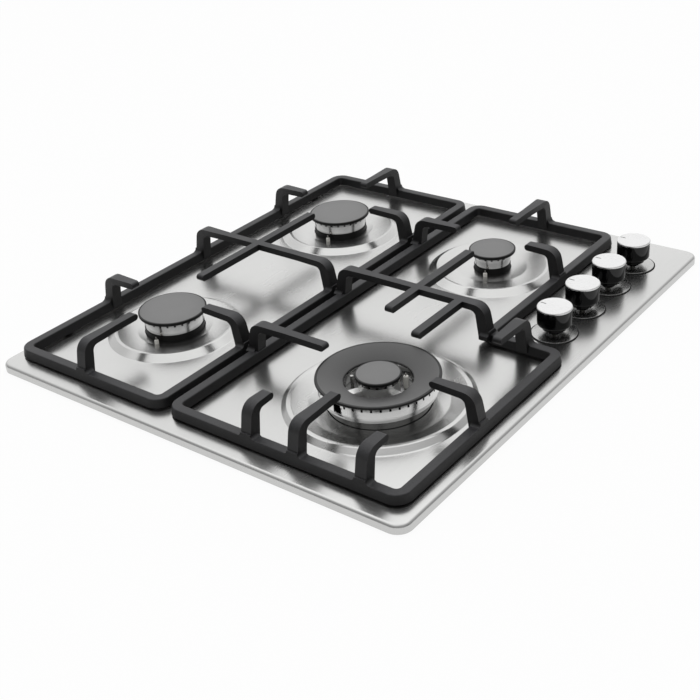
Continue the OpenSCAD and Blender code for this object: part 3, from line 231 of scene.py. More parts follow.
def lathe(bm: BMesh, profile: Profile, at: Point = (0, 0), segments: int = 96, closed: bool = True) -> None:
    """Adds a turned form to a mesh.

    Args:
        bm: the mesh that takes it.
        profile: radius and height of each point, where a radius of 0 lies on the axis.
        at: place of the axis.
        segments: parts of a full turn.
        closed: whether the last point of the profile joins the first.
    """
    rings = [circle(bm, radius, z, at, segments if radius else 1) for radius, z in profile]
    pairs = list(zip(rings, rings[1:]))
    if closed:
        pairs.append((rings[-1], rings[0]))
    faces = [face for first, second in pairs for face in band(bm, first, second)]
    bmesh.ops.recalc_face_normals(bm, faces=faces)


def block(
    bm: BMesh, low: Sequence[float], high: Sequence[float], turn: float = 0.0, at: Point = (0, 0),
) -> None:
    """Adds a plain block, turned about an upright axis through a point.

    Args:
        bm: the mesh that takes it.
        low: its lowest corner before turning.
        high: its highest corner before turning.
        turn: angle in degrees.
        at: place of the axis.
    """
    size = [h - l for l, h in zip(low, high)]
    middle = [(h + l) / 2 for l, h in zip(low, high)]
    matrix = (
        Matrix.Translation((at[0], at[1], 0))
        @ Matrix.Rotation(math.radians(turn), 4, "Z")
        @ Matrix.Translation(middle)
        @ Matrix.Diagonal((*size, 1))
    )
    bmesh.ops.create_cube(bm, size=1, matrix=matrix)


def turned(
    name: str, profile: Profile, material: Material, at: Point = (0, 0), segments: int = 96,
) -> Obj:
    """Makes one closed turned piece.

    Args:
        name: name of the piece.
        profile: radius and height of each point.
        material: its finish.
        at: place of its axis.
        segments: parts of a full turn.

    Returns:
        The new object.
    """
    bm = bmesh.new()
    lathe(bm, profile, at, segments)
    return finish_mesh(name, bm, material)


def merged_copy(node: Obj, name: str) -> Obj:
    """Copies a CAD node and merges its loose triangles.

    Args:
        node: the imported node.
        name: name of the copy.

    Returns:
        The copy, a piece of its own.
    """
    bm = bmesh.new()
    bm.from_mesh(node.data)
    bmesh.ops.remove_doubles(bm, verts=bm.verts, dist=CAD_WELD * MM)
    mesh = bpy.data.meshes.new(name)
    bm.to_mesh(mesh)
    bm.free()
    return placed(name, mesh)


def baked(obj: Obj) -> Obj:
    """Applies an object's modifiers to its own mesh.

    Args:
        obj: the object.

    Returns:
        The same object without modifiers.
    """
    graph = bpy.context.evaluated_depsgraph_get()
    mesh = bpy.data.meshes.new_from_object(obj.evaluated_get(graph))
    old = obj.data
    obj.modifiers.clear()
    obj.data = mesh
    mesh.name = obj.name
    if old.users == 0:
        bpy.data.meshes.remove(old)
    return obj


def join(name: str, pieces: Iterable[Obj]) -> Obj:
    """Joins pieces at the origin into one.

    Args:
        name: name of the joined piece.
        pieces: the pieces, which are removed.

    Returns:
        The joined piece.
    """
    pieces = list(pieces)
    first = pieces[0]
    with bpy.context.temp_override(active_object=first, selected_editable_objects=pieces, object=first):
        bpy.ops.object.join()
    first.name = first.data.name = name
    return first


def install(piece: Obj, slot: str, body: str, *nodes: str) -> None:
    """Sets a finished piece on its body, in place of its CAD nodes.

    Args:
        piece: the piece.
        slot: a material slot of the record; not used.
        body: the body that it moves with.
        nodes: the CAD nodes that it stands for.
    """
    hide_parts(*nodes)
    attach(piece, body)
    LOG.info("%s: %d faces on %s", piece.name, len(piece.data.polygons), body)


# Node tools


def linear(code: str) -> tuple[float, float, float, float]:
    """Turns an sRGB hex colour to linear light.

    Args:
        code: six hex digits, with or without a leading hash.

    Returns:
        Linear red, green, blue and 1.
    """
    code = code.lstrip("#")
    parts = [int(code[i:i + 2], 16) / 255 for i in (0, 2, 4)]
    r, g, b = (c / 12.92 if c <= 0.04045 else ((c + 0.055) / 1.055) ** 2.4 for c in parts)
    return (r, g, b, 1.0)


def set_stops(ramp: bpy.types.ColorRamp, stops: Sequence[tuple[float, str]]) -> None:
    """Fills a colour ramp.

    Args:
        ramp: the ramp.
        stops: a place from 0 to 1 and a hex colour for each stop.
    """
    while len(ramp.elements) < len(stops):
        ramp.elements.new(0.5)
    for element, (place, colour) in zip(ramp.elements, stops):
        element.position = place
        element.color = linear(colour)


def add(tree: Tree, kind: str, settings: dict | None = None, **links: Socket) -> bpy.types.Node:
    """Adds a node with its settings and links.

    Args:
        tree: the node tree.
        kind: the node's type.
        settings: attributes by name, socket values by "in:" and the socket's name or number, and the
            stops of a colour ramp by "stops".
        links: sockets to link from, by the input's name with underscores for spaces, or by i and its number.

    Returns:
        The new node.
    """
    node = tree.nodes.new(kind)
    for key, value in (settings or {}).items():
        if key == "stops":
            set_stops(node.color_ramp, value)
        elif key.startswith("in:"):
            name = key[3:]
            node.inputs[int(name) if name.isdigit() else name].default_value = value
        else:
            setattr(node, key, value)
    for key, source in links.items():
        numbered = key[0] == "i" and key[1:].isdigit()
        tree.links.new(source, node.inputs[int(key[1:]) if numbered else key.replace("_", " ")])
    return node


# Finishes


@dataclass(frozen=True)
class Grain:
    """A surface pattern: how coarse it is along each axis in millimetres, and what it does."""

    size: tuple[float, float, float] = (1.0, 1.0, 1.0)
    detail: float = 3.0
    bump: float = 0.02
    rough: float = 0.0
    shade: float = 0.0

    def noise(self, tree: Tree, coords: Socket) -> Socket:
        """Adds a noise whose spots have the grain's real size.

        Args:
            tree: the material's tree.
            coords: object coordinates in metres.

        Returns:
            The noise's value, about 0.5 on average.
        """
        scale = tuple(1 / (s * MM) for s in self.size)
        mapping = add(tree, "ShaderNodeMapping", {"in:Scale": scale}, Vector=coords)
        settings = {"in:Scale": 1.0, "in:Detail": self.detail, "in:Roughness": 0.55}
        return add(tree, "ShaderNodeTexNoise", settings, Vector=mapping.outputs[0]).outputs[0]


def even(size: float, detail: float, bump: float, rough: float, shade: float) -> Grain:
    """Gives a pattern that is equally coarse along every axis."""
    return Grain((size, size, size), detail, bump, rough, shade)


@dataclass(frozen=True)
class Finish:
    """A finish made of one shader, a fine grain and a slow variation over the piece."""

    name: str
    colour: str
    metallic: float
    roughness: float
    grain: Grain
    cloud: Grain = even(60.0, 2.0, 0.0, 0.04, 0.06)
    coat: float = 0.0
    coat_roughness: float = 0.1
    ior: float = 1.5
    specular: float = 0.5

    def base(self, tree: Tree, coords: Socket) -> Socket | None:
        """Gives the colour before variation, or None where it is the same all over."""
        return None

    def varied(self, tree: Tree, noises: Sequence[Socket], shares: Point, low: float, high: float) -> Socket:
        """Mixes the fine and the slow noise by what each does, and spreads the mix over a range.

        Args:
            tree: the material's tree.
            noises: the fine and the slow noise.
            shares: what the fine and the slow pattern do.
            low: the value of the lowest spots.
            high: the value of the highest spots.

        Returns:
            The value over the surface.
        """
        share = {"in:0": shares[1] / max(1e-6, sum(shares))}
        both = add(tree, "ShaderNodeMix", share, i2=noises[0], i3=noises[1]).outputs[0]
        span = {"in:1": 0.3, "in:2": 0.7, "in:3": low, "in:4": high}
        return add(tree, "ShaderNodeMapRange", span, Value=both).outputs[0]

    def make(self) -> Material:
        """Builds the material once.

        Returns:
            The material, shared by every piece of this finish.
        """
        known = bpy.data.materials.get(self.name)
        if known is not None:
            return known
        material = bpy.data.materials.new(self.name)
        material.use_nodes = True
        tree = material.node_tree
        shader = tree.nodes["Principled BSDF"]
        for socket, value in (
            ("Metallic", self.metallic), ("Roughness", self.roughness), ("IOR", self.ior),
            ("Coat Weight", self.coat), ("Coat Roughness", self.coat_roughness),
            ("Specular IOR Level", self.specular),
        ):
            shader.inputs[socket].default_value = value
        grain, cloud = self.grain, self.cloud
        coords = add(tree, "ShaderNodeTexCoord").outputs["Object"]
        noises = [grain.noise(tree, coords), cloud.noise(tree, coords)]
        spread = grain.shade + cloud.shade
        level = self.varied(tree, noises, (grain.shade, cloud.shade), 1 - spread, 1 + spread)
        plain = {"operation": "SCALE", "in:0": linear(self.colour)[:3]}
        tint = add(tree, "ShaderNodeVectorMath", plain, Scale=level)
        base = self.base(tree, coords)
        if base is not None:
            tree.links.new(base, tint.inputs[0])
        tree.links.new(tint.outputs[0], shader.inputs["Base Color"])
        spread = grain.rough + cloud.rough
        low, high = max(0.02, self.roughness - spread), self.roughness + spread
        rough = self.varied(tree, noises, (grain.rough, cloud.rough), low, high)
        tree.links.new(rough, shader.inputs["Roughness"])
        if grain.bump:
            relief = {"in:Strength": 0.6, "in:Distance": grain.bump * MM}
            bump = add(tree, "ShaderNodeBump", relief, Height=noises[0])
            tree.links.new(bump.outputs[0], shader.inputs["Normal"])
        return material


@dataclass(frozen=True)
class PaintedSheenEnamel(Finish):
    """Enamel whose upward faces are painted lighter than its sides: a painted sheen of the light from above.
    """

    # Colour of the upward faces: painted sheen, lighter than the sides as light falls on them from above.
    top: str = "#404040"

    def base(self, tree: Tree, coords: Socket) -> Socket:
        """Blends from the colour of the sides to the painted sheen of the upward faces, by how far each face
        turns up.

        Args:
            tree: the material's tree.
            coords: object coordinates in metres; not used.

        Returns:
            The colour.
        """
        normal = add(tree, "ShaderNodeNewGeometry").outputs["Normal"]
        up = add(tree, "ShaderNodeSeparateXYZ", i0=normal).outputs[2]
        # Painted sheen: the more a face turns up, the more it takes the lighter top colour.
        share = add(tree, "ShaderNodeMapRange", {"in:1": 0.35, "in:2": 0.9}, Value=up).outputs[0]
        stops = [(0.0, self.colour), (1.0, self.top)]
        return add(tree, "ShaderNodeValToRGB", {"stops": stops}, Fac=share).outputs["Color"]


@dataclass(frozen=True)
class RimmedEnamel(Finish):
    """Satin enamel on a burner's cap, whose side and outer edge show the black coat under it."""

    # outer is the face's colour at its edge, reached from even_share of the radius outward: painted light
    # and shade.
    outer: str = "#8c8c8c"
    rim: str = "#0c0c0c"
    centre: Point = (0.0, 0.0)
    radius: float = 36.0
    band: float = 1.5
    band_blend: float = 0.4
    edge_z: float = 24.0
    edge_blend: float = 0.15
    even_share: float = 0.55

    def base(self, tree: Tree, coords: Socket) -> Socket:
        """Paints light and shade on the face from its middle to its outer part, and keeps the rim's colour
        round and below it.

        Args:
            tree: the material's tree.
            coords: object coordinates in metres.

        Returns:
            The colour.
        """
        z = add(tree, "ShaderNodeSeparateXYZ", Vector=coords).outputs[2]
        low, high = ((TOP_Z + self.edge_z + side * self.edge_blend) * MM for side in (-1, 1))
        over = add(tree, "ShaderNodeMapRange", {"in:1": low, "in:2": high}, Value=z).outputs[0]
        from_centre = {"operation": "SUBTRACT", "in:1": (self.centre[0] * MM, self.centre[1] * MM, 0.0)}
        offset = add(tree, "ShaderNodeVectorMath", from_centre, i0=coords).outputs[0]
        level = {"operation": "MULTIPLY", "in:1": (1.0, 1.0, 0.0)}
        flat = add(tree, "ShaderNodeVectorMath", level, i0=offset).outputs[0]
        out = add(tree, "ShaderNodeVectorMath", {"operation": "LENGTH"}, i0=flat).outputs["Value"]
        span = {"in:1": 0.0, "in:2": self.radius * MM}
        share = add(tree, "ShaderNodeMapRange", span, Value=out).outputs[0]
        # Painted light and shade: the face runs from its colour to the outer colour toward its edge.
        stops = [(0.0, self.colour), (self.even_share, self.colour), (1.0, self.outer)]
        face = add(tree, "ShaderNodeValToRGB", {"stops": stops}, Fac=share).outputs["Color"]
        start = self.radius - self.band
        span = {"in:1": start * MM, "in:2": (start - self.band_blend) * MM}
        inside = add(tree, "ShaderNodeMapRange", span, Value=out).outputs[0]
        both = add(tree, "ShaderNodeMath", {"operation": "MULTIPLY"}, i0=over, i1=inside).outputs[0]
        rim = {"data_type": "RGBA", "in:6": linear(self.rim)}
        return add(tree, "ShaderNodeMix", rim, i0=both, i7=face).outputs[2]


# Cold-rolled stainless sheet, belt-brushed along the knob edge: lines about 0.2 mm apart, drawn 0.9 mm apart
# so that they show, which streak the reflections sideways.
STAINLESS = Finish(
    "brushed_stainless_sheet", "#c6c6c5", 1.0, 0.25,
    Grain((34.0, 0.9, 0.9), 2.0, 0.0001, 0.004, 0.015), Grain((90.0, 40.0, 40.0), 2.0, 0.0, 0.03, 0.015),
)
# Sand-cast iron under matt black enamel: a pebbled skin of about 0.7 mm grains, drawn 1.3 mm so that they
# show, which breaks up every highlight. Its upward faces are painted lighter than the sides, as painted
# sheen.
GRATE_ENAMEL = PaintedSheenEnamel(
    "matt_enamelled_cast_iron", "#141415", 0.0, 0.52,
    even(1.3, 3.0, 0.12, 0.08, 0.32), even(30.0, 3.0, 0.0, 0.05, 0.1), specular=0.4, top="#38383a",
)
# Die-cast aluminium, turned and polished: faint turning lines and long upright highlights.
HEAD_ALUMINIUM = Finish(
    "polished_die_cast_aluminium", "#e2e2e2", 1.0, 0.1,
    Grain((1.2, 1.2, 0.35), 2.0, 0.001, 0.02, 0.02), even(14.0, 2.0, 0.0, 0.03, 0.03),
)
# The inner head isn't polished but blasted with fine beads, so it takes light from all round and stays pale.
BLASTED_ALUMINIUM = Finish(
    "bead_blasted_aluminium", "#e4e4e3", 1.0, 0.5,
    even(0.8, 2.0, 0.004, 0.04, 0.04), even(14.0, 2.0, 0.0, 0.03, 0.03),
)
# The large pot is plain deep-drawn steel, polished by the press tool: a dim mirror with faint clouds,
# its colour darkened as painted shade under the head.
POT_STEEL = Finish(
    "deep_drawn_bright_steel", "#868685", 1.0, 0.22,
    even(2.0, 2.0, 0.001, 0.03, 0.03), even(16.0, 2.0, 0.0, 0.03, 0.04),
)
# The inside of the gas ports and the notch: the same casting as the head, painted black as the shade in
# these recesses.
PORT_PAINTED_SHADE = Finish(
    "flame_sooted_casting", "#0d0d0d", 0.0, 0.8, even(0.5, 2.0, 0.01, 0.05, 0.2), specular=0.1,
)
# Porcelain enamel on the other, pressed pots: deep black with a satin shine, a little wavy. The black also
# stands in for the shade in the gap under each head, as painted shade.
POT_ENAMEL = Finish(
    "black_porcelain_enamel", "#0b0b0b", 0.0, 0.42, even(3.0, 2.0, 0.02, 0.03, 0.1), specular=0.3,
)
# Sprayed enamel on the caps: a satin mid grey with a fine orange peel, and black at the rim.
# The face is painted a little darker toward its edge, as painted shade.
CAP_ENAMEL = RimmedEnamel(
    "satin_grey_enamel", "#7c7c7c", 0.0, 0.46,
    even(0.7, 3.0, 0.015, 0.04, 0.03), even(18.0, 2.0, 0.0, 0.04, 0.04), specular=0.35, outer="#787878",
)
# The same enamel on the middle cap of the large burner, fired a little darker and smoother.
MIDDLE_ENAMEL = replace(
    CAP_ENAMEL, name="satin_grey_enamel_middle", colour="#787878", roughness=0.42, outer="#747474",
)
# A darker enamel on the ring cap, painted lighter toward its outer edge as painted light from the front and
# above, with a wide black rim.
RING_ENAMEL = replace(
    CAP_ENAMEL, name="satin_dark_ring_enamel", colour="#444444", roughness=0.4, specular=0.4,
    outer="#5c5c5c", cloud=even(18.0, 2.0, 0.0, 0.04, 0.05), edge_z=20.6, band=2.6,
)
# Injection-moulded ABS with a piano-gloss face: mirror-like, with a trace of orange peel.
KNOB_GLOSS = Finish(
    "gloss_moulded_abs", "#060607", 0.0, 0.07, even(6.0, 1.0, 0.01, 0.015, 0.05), specular=0.35,
)
# Spun aluminium disc with a clear lacquer: a fine satin face, whose cut edge catches the light.
DISC_ALUMINIUM = Finish(
    "lacquered_spun_aluminium", "#dadada", 1.0, 0.3,
    Grain((0.5, 4.0, 0.5), 2.0, 0.002, 0.05, 0.02), even(20.0, 2.0, 0.0, 0.03, 0.02),
)
# Ink filled into the engraved mark of a knob: flat black, a little uneven.
MARK_INK = Finish("black_mark_ink", "#1a1a1a", 0.0, 0.5, even(0.4, 2.0, 0.01, 0.05, 0.1))
# Polished stainless bezel round each spindle, over a black ring whose thin black line round it is a painted
# shadow.
BEZEL_STEEL = Finish(
    "polished_stainless_bezel", "#b4b4b3", 1.0, 0.26,
    Grain((8.0, 0.9, 0.9), 2.0, 0.001, 0.03, 0.02), even(20.0, 2.0, 0.0, 0.02, 0.03),
)
# Slip-cast alumina insulator: white, softly glazed.
CERAMIC = Finish(
    "glazed_alumina_ceramic", "#e9e7e1", 0.0, 0.3, even(0.8, 2.0, 0.01, 0.05, 0.03),
    coat=0.3, coat_roughness=0.15,
)
# Drawn steel of the spark pins and spindles: warm grey, with fine lines along the length.
PIN_STEEL = Finish("drawn_steel_pin", "#9c9a96", 1.0, 0.3, Grain((0.4, 0.4, 3.0), 2.0, 0.004, 0.05, 0.06))
# Drawn stainless sheath of a flame probe: paler than the pins, with the same lines.
PROBE_SHEATH = Finish(
    "drawn_steel_sheath", "#b4b4b2", 1.0, 0.3, Grain((0.5, 0.5, 3.0), 2.0, 0.004, 0.05, 0.05),
)
# Moulded nitrile rubber foot: dull black with a fine powdery bloom.
FOOT_RUBBER = Finish("moulded_nitrile_rubber", "#161616", 0.0, 0.8, even(0.5, 3.0, 0.02, 0.05, 0.2))
# Closed-cell foam tape: dead black, with small cells that its skin half hides.
SEAL_FOAM = Finish("closed_cell_foam_tape", "#1d1d1d", 0.0, 0.9, even(0.8, 4.0, 0.08, 0.04, 0.25))
# Hot-dip zinc sheet: soft grey with faint spangle.
ZINC = Finish(
    "galvanised_steel_sheet", "#a9acaf", 0.9, 0.42,
    even(7.0, 3.0, 0.01, 0.08, 0.07), even(45.0, 2.0, 0.0, 0.05, 0.06),
)
# Bright zinc plate on turned screws: a cool, clean shine.
SCREW_STEEL = Finish("zinc_plated_screw_steel", "#c2c4c6", 1.0, 0.28, even(0.6, 2.0, 0.01, 0.08, 0.08))
# Drawn aluminium tube: pale and half bright, a little dulled by handling.
TUBE_ALUMINIUM = Finish("drawn_aluminium_tube", "#c9cacc", 1.0, 0.32, even(1.5, 2.0, 0.008, 0.06, 0.06))
# Turned brass with a thin brown film of age.
BRASS = Finish(
    "machined_brass", "#c7a55c", 1.0, 0.26,
    Grain((1.0, 1.0, 0.4), 2.0, 0.008, 0.06, 0.06), even(12.0, 3.0, 0.0, 0.06, 0.1),
)
# Polyamide moulded in a spark-eroded tool: charcoal, with a fine dry texture.
MODULE_PLASTIC = Finish("spark_eroded_polyamide", "#232426", 0.0, 0.6, even(0.5, 3.0, 0.03, 0.05, 0.12))
# Braided glass sleeve soaked in red silicone: a dull brick red, a little uneven from the braid.
LEAD_SILICONE = Finish("silicone_glass_sleeve", "#8c2f26", 0.0, 0.55, even(0.7, 2.0, 0.04, 0.06, 0.15))
# Plain rolled steel strip of the brackets under the pots: mid grey, with rolling lines along it.
BRACKET_STEEL = Finish(
    "plain_steel_strip", "#8f9194", 0.9, 0.4, Grain((0.8, 8.0, 0.8), 2.0, 0.006, 0.08, 0.08),
)


def dress(obj: Obj, finish: Finish) -> None:
    """Gives an object one finish in place of what it had."""
    obj.data.materials.clear()
    obj.data.materials.append(finish.make())


# Geometry Nodes


def new_tree(name: str, **inputs: str) -> tuple[Tree, bpy.types.NodeOutputs]:
    """Starts a Geometry Nodes tree that gives one geometry.

    Args:
        name: name of the tree.
        inputs: kind of each input by its name, with underscores for spaces.

    Returns:
        The tree, and what its inputs give.
    """
    tree = bpy.data.node_groups.new(name, "GeometryNodeTree")
    for key, kind in inputs.items():
        tree.interface.new_socket(key.replace("_", " "), in_out="INPUT", socket_type=f"NodeSocket{kind}")
    tree.interface.new_socket("Geometry", in_out="OUTPUT", socket_type="NodeSocketGeometry")
    return tree, add(tree, "NodeGroupInput").outputs


def round_pattern() -> Tree:
    """Builds the tree that repeats one piece round an upright axis through the origin.

    Returns:
        The tree, with inputs Piece, Count, First angle, Merge distance and Material.
    """
    known = bpy.data.node_groups.get("round_pattern")
    if known is not None:
        return known
    tree, given = new_tree(
        "round_pattern", Piece="Object", Count="Int", First_angle="Float", Merge_distance="Float",
        Material="Material",
    )
    piece = add(tree, "GeometryNodeObjectInfo", Object=given["Piece"]).outputs["Geometry"]
    spread = {"mode": "OFFSET", "in:Offset": (0.0, 0.0, 0.0)}
    points = add(tree, "GeometryNodeMeshLine", spread, Count=given["Count"]).outputs[0]
    index = add(tree, "GeometryNodeInputIndex").outputs[0]
    share = {"operation": "DIVIDE", "in:0": 2 * math.pi}
    pitch = add(tree, "ShaderNodeMath", share, i1=given["Count"]).outputs[0]
    times = {"operation": "MULTIPLY_ADD"}
    angle = add(tree, "ShaderNodeMath", times, i0=index, i1=pitch, i2=given["First angle"]).outputs[0]
    turn = add(tree, "ShaderNodeCombineXYZ", Z=angle).outputs[0]
    copies = add(tree, "GeometryNodeInstanceOnPoints", Points=points, Instance=piece, Rotation=turn)
    real = add(tree, "GeometryNodeRealizeInstances", Geometry=copies.outputs[0]).outputs[0]
    merged = add(tree, "GeometryNodeMergeByDistance", Geometry=real, Distance=given["Merge distance"])
    dressed = add(tree, "GeometryNodeSetMaterial", Geometry=merged.outputs[0], Material=given["Material"])
    add(tree, "NodeGroupOutput", Geometry=dressed.outputs[0])
    return tree


def place_pattern() -> Tree:
    """Builds the tree that sets one piece on each point of a mesh.

    Returns:
        The tree, with inputs Geometry, Piece and Material.
    """
    known = bpy.data.node_groups.get("place_pattern")
    if known is not None:
        return known
    tree, given = new_tree("place_pattern", Geometry="Geometry", Piece="Object", Material="Material")
    piece = add(tree, "GeometryNodeObjectInfo", Object=given["Piece"]).outputs["Geometry"]
    copies = add(tree, "GeometryNodeInstanceOnPoints", Points=given["Geometry"], Instance=piece).outputs[0]
    real = add(tree, "GeometryNodeRealizeInstances", Geometry=copies).outputs[0]
    dressed = add(tree, "GeometryNodeSetMaterial", Geometry=real, Material=given["Material"])
    add(tree, "NodeGroupOutput", Geometry=dressed.outputs[0])
    return tree


def run_tree(
    name: str, tree: Tree, inputs: dict[str, object], points: Sequence[tuple[float, float, float]] = (),
) -> Obj:
    """Runs a tree and keeps its result as a plain mesh.

    Args:
        name: name of the piece.
        tree: the Geometry Nodes tree.
        inputs: values by the tree's input names.
        points: places in metres for a tree that reads them.

    Returns:
        The finished object, at the origin.
    """
    mesh = bpy.data.meshes.new(name)
    mesh.from_pydata(list(points), [], [])
    obj = placed(name, mesh)
    modifier = obj.modifiers.new("pattern", "NODES")
    modifier.node_group = tree
    for item in tree.interface.items_tree:
        if item.item_type == "SOCKET" and item.in_out == "INPUT" and item.name in inputs:
            modifier[item.identifier] = inputs[item.name]
    baked(obj)
    shade(obj.data, SHARP)
    return obj


# Sub-assemblies


@dataclass(frozen=True)
class Well:
    """The pressed form round a burner: two radii, then distances inward from the foot of its rim."""

    rim: float = 71.5
    hole: float = 32.3
    crest: Point = (8.5, 11.5)
    floor: float = 32.0
    floor_z: float = 2.0
    floor_blend: float = 12.0


@dataclass
class TopPlate:
    """The pressed stainless plate with a folded edge and a raised rim round each burner."""

    width: float = 580.0
    depth: float = 510.0
    sheet: float = 1.0
    lip: float = 9.0
    corner: float = 14.5
    corner_parts: int = 12
    roll: float = 3.5
    roll_parts: int = 8
    rim_height: float = 5.0
    rim_apron: float = 2.5
    wells: dict[Burner, Well] = field(default_factory=lambda: {
        Burner.REAR_LEFT: Well(), Burner.REAR_RIGHT: Well(),
        Burner.SMALL: Well(hole=21.3, floor=33.0, floor_blend=20.0),
        Burner.WOK: Well(93.0, 50.8, (5.5, 9.5), 25.5, -1.5, 9.0),
    })
    well_parts: int = 144
    shaft_hole: float = 8.0
    shaft_parts: int = 32
    boss_radius: float = 3.4
    boss_foot: float = -5.0
    boss_parts: int = 24
    boss_inset: float = 11.5
    boss_columns: tuple[float, ...] = (-180.0, 0.0, 180.0)
    boss_rows: tuple[float, ...] = (-120.0, 0.0, 120.0)
    sharp: float = 24.0

    def outline(self, inset: float) -> list[Point]:
        """Gives the plate's outline drawn in by an inset.

        Args:
            inset: distance from the outer faces.

        Returns:
            The same number of points for every inset, in turn.
        """
        radius = self.corner - inset
        w, d = self.width / 2 - self.corner, self.depth / 2 - self.corner
        points: list[Point] = []
        for k, (sx, sy) in enumerate(((1, 1), (-1, 1), (-1, -1), (1, -1))):
            for step in range(self.corner_parts + 1):
                a = math.radians(90 * k + 90 * step / self.corner_parts)
                points.append((sx * w + radius * math.cos(a), sy * d + radius * math.sin(a)))
        return points

    def dish(self, burner: Burner) -> list[Point]:
        """Gives the pressed form round a burner, from the flat sheet in to the pot.

        Args:
            burner: which burner.

        Returns:
            Radius and height of each point of the upper face.
        """
        well = self.wells[burner]
        line = [
            (well.rim + self.rim_apron, 0.0), (well.rim, 0.0),
            (well.rim - well.crest[0], self.rim_height), (well.rim - well.crest[1], self.rim_height),
            (well.rim - well.floor, well.floor_z), (well.hole, well.floor_z),
        ]
        return rounded(line, [0, 2.0, 2.2, 2.2, well.floor_blend, 0], 6)

    def skin(self, bm: BMesh, drop: float) -> None:
        """Adds one face of the sheet: the folded edge, the flat field and the pressed dishes.

        Args:
            bm: the mesh that takes it.
            drop: how far under the upper face it lies, 0 for the upper face itself.
        """
        roll = self.roll - drop
        angles = (math.radians(90 * k / self.roll_parts) for k in range(self.roll_parts + 1))
        edge = [(drop, -self.lip)]
        edge += [(self.roll - roll * math.cos(a), -self.roll + roll * math.sin(a)) for a in angles]
        loops = [[bm.verts.new((x, y, z)) for x, y in self.outline(inset)] for inset, z in edge]
        for outer, inner in zip(loops, loops[1:]):
            band(bm, outer, inner)
        borders = border(bm, loops[-1])
        for burner, place in PLACES.items():
            rings = [circle(bm, radius, z - drop, place, self.well_parts) for radius, z in self.dish(burner)]
            for outer, inner in zip(rings, rings[1:]):
                band(bm, outer, inner)
            borders += border(bm, rings[0])
        for place in Knobs().places():
            borders += border(bm, circle(bm, self.shaft_hole, -drop, place, self.shaft_parts))
        bmesh.ops.triangle_fill(bm, use_beauty=True, use_dissolve=False, edges=borders, normal=(0, 0, 1))

    def pressing(self) -> Obj:
        """Builds the sheet from its upper and its lower face.

        Returns:
            The sheet, closed round its edge and its holes.
        """
        bm = bmesh.new()
        for drop, upward in ((0.0, True), (self.sheet, False)):
            before = set(bm.faces)
            self.skin(bm, drop)
            faces = [f for f in bm.faces if f not in before]
            bmesh.ops.recalc_face_normals(bm, faces=faces)
            widest = max(faces, key=lambda f: f.calc_area())
            if (widest.normal.z > 0) != upward:
                bmesh.ops.reverse_faces(bm, faces=faces)
        open_edges = [e for e in bm.edges if e.is_boundary]
        bmesh.ops.bridge_loops(bm, edges=open_edges, use_pairs=True)
        return finish_mesh("pressed_top_plate", bm, STAINLESS.make(), self.sharp)

    def bosses(self) -> Obj:
        """Builds the bosses under the sheet that the box screws go into.

        Returns:
            The bosses as one object.
        """
        steel = STAINLESS.make()
        foot, roof = self.boss_foot, -self.sheet
        profile = [(0, foot), (self.boss_radius, foot), (self.boss_radius, roof), (0, roof)]
        boss = turned("plate_boss", profile, steel, segments=self.boss_parts)
        w, d = self.width / 2 - self.boss_inset, self.depth / 2 - self.boss_inset
        places = [(side * w, y) for side in (-1, 1) for y in self.boss_rows]
        places += [(x, side * d) for side in (-1, 1) for x in self.boss_columns]
        points = [(x * MM, y * MM, 0.0) for x, y in places]
        bosses = run_tree("plate_bosses", place_pattern(), {"Piece": boss, "Material": steel}, points)
        bpy.data.objects.remove(boss)
        return bosses

    def build(self) -> None:
        """Builds the plate with its bosses on the cooktop."""
        plate = join("pressed_top_plate", [self.pressing(), self.bosses()])
        install(plate, "stainless_sheet", "cooktop", "top_plate", "burner_wells")


